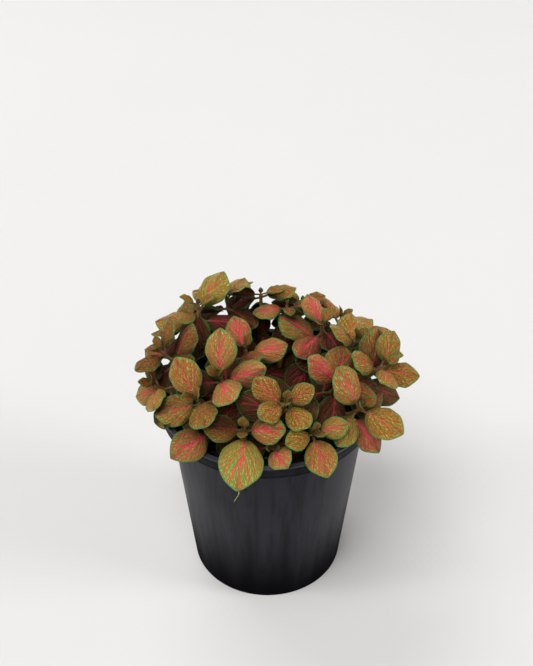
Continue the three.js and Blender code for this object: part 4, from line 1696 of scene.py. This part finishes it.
class NervePlantMix(bpy.types.PropertyGroup):
    """The potting mix's level, grains and colours."""

    top: a_length("Level", SOIL_TOP * MM, "Height of the mix's top over the pot's underside")
    grains: a_count("Grains", 520, 2000, "How many loose grains lie on top")
    colour: a_colour("Damp mix", (0.012, 0.008, 0.006), "Damp peat")
    dry_colour: a_colour("Dry mix", (0.045, 0.028, 0.017), "Dry peat and the pale side of bark")
    bark_colour: a_colour("Bark", (0.07, 0.035, 0.018), "Bark chips")
    perlite_colour: a_colour("Perlite", (0.55, 0.54, 0.5), "Perlite grains")


class NervePlantFoliage(bpy.types.PropertyGroup):
    """The leafy stems' fine sizes and colours."""

    thickness: a_length("Leaf thickness", 0.0005, "Thickness of a leaf at its midrib")
    puff_height: a_length("Puff height", 0.0004, "How high the blade swells between two side veins")
    vein_depth: a_length("Vein depth", 0.00026, "How deep the side veins are sunk")
    rib_depth: a_length("Midrib depth", 0.0004, "How deep the midrib is sunk")
    lobe_height: a_length("Lobe height", 0.0009, "How far each half of the blade arches up")
    edge_wave: a_length("Edge wave", 0.0006, "How far the leaf's edge waves up and down")
    edge_droop: a_length("Edge droop", 0.0028, "How far the leaf's edge bends down")
    stalk_radius: a_length("Stalk radius", 0.0008, "Radius of a large leaf's stalk")
    stem_radius: a_length("Stem radius", 0.00125, "Radius of a stem low down")
    hairs_per_stem: a_count("Hairs", 130, 1000, "How many short hairs each stem has")
    young_ground: a_colour("Young leaf", (0.5, 0.265, 0.022), "Between the veins of a young leaf")
    young_net: a_colour("Young net", (0.22, 0.035, 0.008), "The fine vein net of a young leaf")
    young_vein: a_colour("Young veins", (0.3, 0.022, 0.007), "Side veins of a young leaf")
    old_ground: a_colour("Grown leaf", (0.15, 0.37, 0.035), "Between the veins of a grown leaf")
    old_net: a_colour("Grown net", (0.36, 0.045, 0.025), "The fine vein net of a grown leaf")
    old_vein: a_colour("Grown veins", (0.9, 0.088, 0.065), "Side veins of a grown leaf")
    rib: a_colour("Midrib", (0.96, 0.11, 0.14), "The midrib near the stalk")
    # A painted highlight: the pale tone that stands for light catching the tops of the puffs
    painted_puff_highlight: a_colour("Bloom", (0.95, 0.7, 0.36), "Pale tone on the tops of the puffs between the veins")
    edge: a_colour("Edge", (0.09, 0.3, 0.075), "The leaf's edge")
    # The tone that painted shade darkens leaves towards
    shade: a_colour("Shade", (0.09, 0.06, 0.07), "What the darkest leaves are toned down by")
    back: a_colour("Back", (0.05, 0.055, 0.018), "The leaf's under side")
    back_vein: a_colour("Back veins", (0.1, 0.075, 0.03), "Veins on the under side")
    stem: a_colour("Stem", (0.13, 0.1, 0.03), "Stems and stalks")
    stem_red: a_colour("Stem flush", (0.2, 0.05, 0.025), "Reddened stretches of the stems")
    thread: a_colour("Thread", (0.5, 0.5, 0.12), "The stray thread under the front leaf")
    gloss: a_share("Gloss", 0.18, "How strongly the leaves reflect")
    glow: a_share("Glow", 0.15, "How much light spreads inside the leaves")


class NervePlantStage(bpy.types.PropertyGroup):
    """The floor and the lights."""

    floor_colour: a_colour("Floor", (0.73, 0.72, 0.71), "The plain floor")
    room_colour: a_colour("Room", (1, 1, 1), "The even light from all round")
    room_light: a_strength("Room light", 0.08, "Strength of the even light from all round")
    key_light: a_strength("Key light", 1.9, "Strength of the main light")
    top_light: a_strength("Top light", 27, "Power of the softbox over and behind the plant", "POWER")
    strip_light: a_strength("Strip lights", 26, "Power of the right softbox, shared by the left", "POWER")


class BuildPot(bpy.types.Operator):
    """Models the nursery pot"""

    bl_idname = "nerve_plant.build_pot"
    bl_label = "Build pot"

    def execute(self, context):
        build_pot(context.scene.nerve_plant_pot)
        return {"FINISHED"}


class FillPottingMix(bpy.types.Operator):
    """Fills the pot with potting mix and strews grains on it"""

    bl_idname = "nerve_plant.fill_potting_mix"
    bl_label = "Fill potting mix"

    def execute(self, context):
        if context.scene.nerve_plant_mix.top >= context.scene.nerve_plant_pot.height:
            raise ValueError("the potting mix stands higher than the pot")
        fill_mix(context.scene.nerve_plant_pot, context.scene.nerve_plant_mix)
        return {"FINISHED"}


class GrowFoliage(bpy.types.Operator):
    """Grows every leafy stem"""

    bl_idname = "nerve_plant.grow_foliage"
    bl_label = "Grow foliage"

    def execute(self, context):
        grow_foliage(context.scene.nerve_plant_foliage)
        return {"FINISHED"}


class HangThread(bpy.types.Operator):
    """Hangs the stray thread under the front leaf"""

    bl_idname = "nerve_plant.hang_thread"
    bl_label = "Hang thread"

    def execute(self, context):
        hang_thread(context.scene.nerve_plant_foliage)
        return {"FINISHED"}


class SetStage(bpy.types.Operator):
    """Lays the floor, hangs the lights and sets the camera"""

    bl_idname = "nerve_plant.set_stage"
    bl_label = "Set stage"

    def execute(self, context):
        set_stage(context.scene.nerve_plant_stage)
        return {"FINISHED"}


class NervePlantPanel(bpy.types.Panel):
    """Lists the settings and steps of the potted nerve plant"""

    bl_idname = "VIEW3D_PT_nerve_plant"
    bl_label = "Nerve plant"
    bl_space_type = "VIEW_3D"
    bl_region_type = "UI"
    bl_category = "Nerve plant"

    def draw(self, context):
        for name, settings in SETTINGS.items():
            box = self.layout.box()
            for setting in settings.__annotations__:
                box.prop(getattr(context.scene, name), setting)
            for operator in OPERATORS[name]:
                box.operator(operator.bl_idname)


SETTINGS = {
    "nerve_plant_pot": NervePlantPot,
    "nerve_plant_mix": NervePlantMix,
    "nerve_plant_foliage": NervePlantFoliage,
    "nerve_plant_stage": NervePlantStage,
}
OPERATORS = {
    "nerve_plant_pot": [BuildPot],
    "nerve_plant_mix": [FillPottingMix],
    "nerve_plant_foliage": [GrowFoliage, HangThread],
    "nerve_plant_stage": [SetStage],
}


def all_classes():
    steps = [operator for group in OPERATORS.values() for operator in group]
    return [*SETTINGS.values(), *steps, NervePlantPanel]


def register():
    for each in all_classes():
        bpy.utils.register_class(each)
    for name, settings in SETTINGS.items():
        setattr(bpy.types.Scene, name, bpy.props.PointerProperty(type=settings))


def unregister():
    for name in SETTINGS:
        delattr(bpy.types.Scene, name)
    for each in reversed(all_classes()):
        bpy.utils.unregister_class(each)


def main():
    register()
    bpy.ops.nerve_plant.build_pot()
    bpy.ops.nerve_plant.fill_potting_mix()
    bpy.ops.nerve_plant.grow_foliage()
    bpy.ops.nerve_plant.hang_thread()
    bpy.ops.nerve_plant.set_stage()


if __name__ == "__main__":
    main()
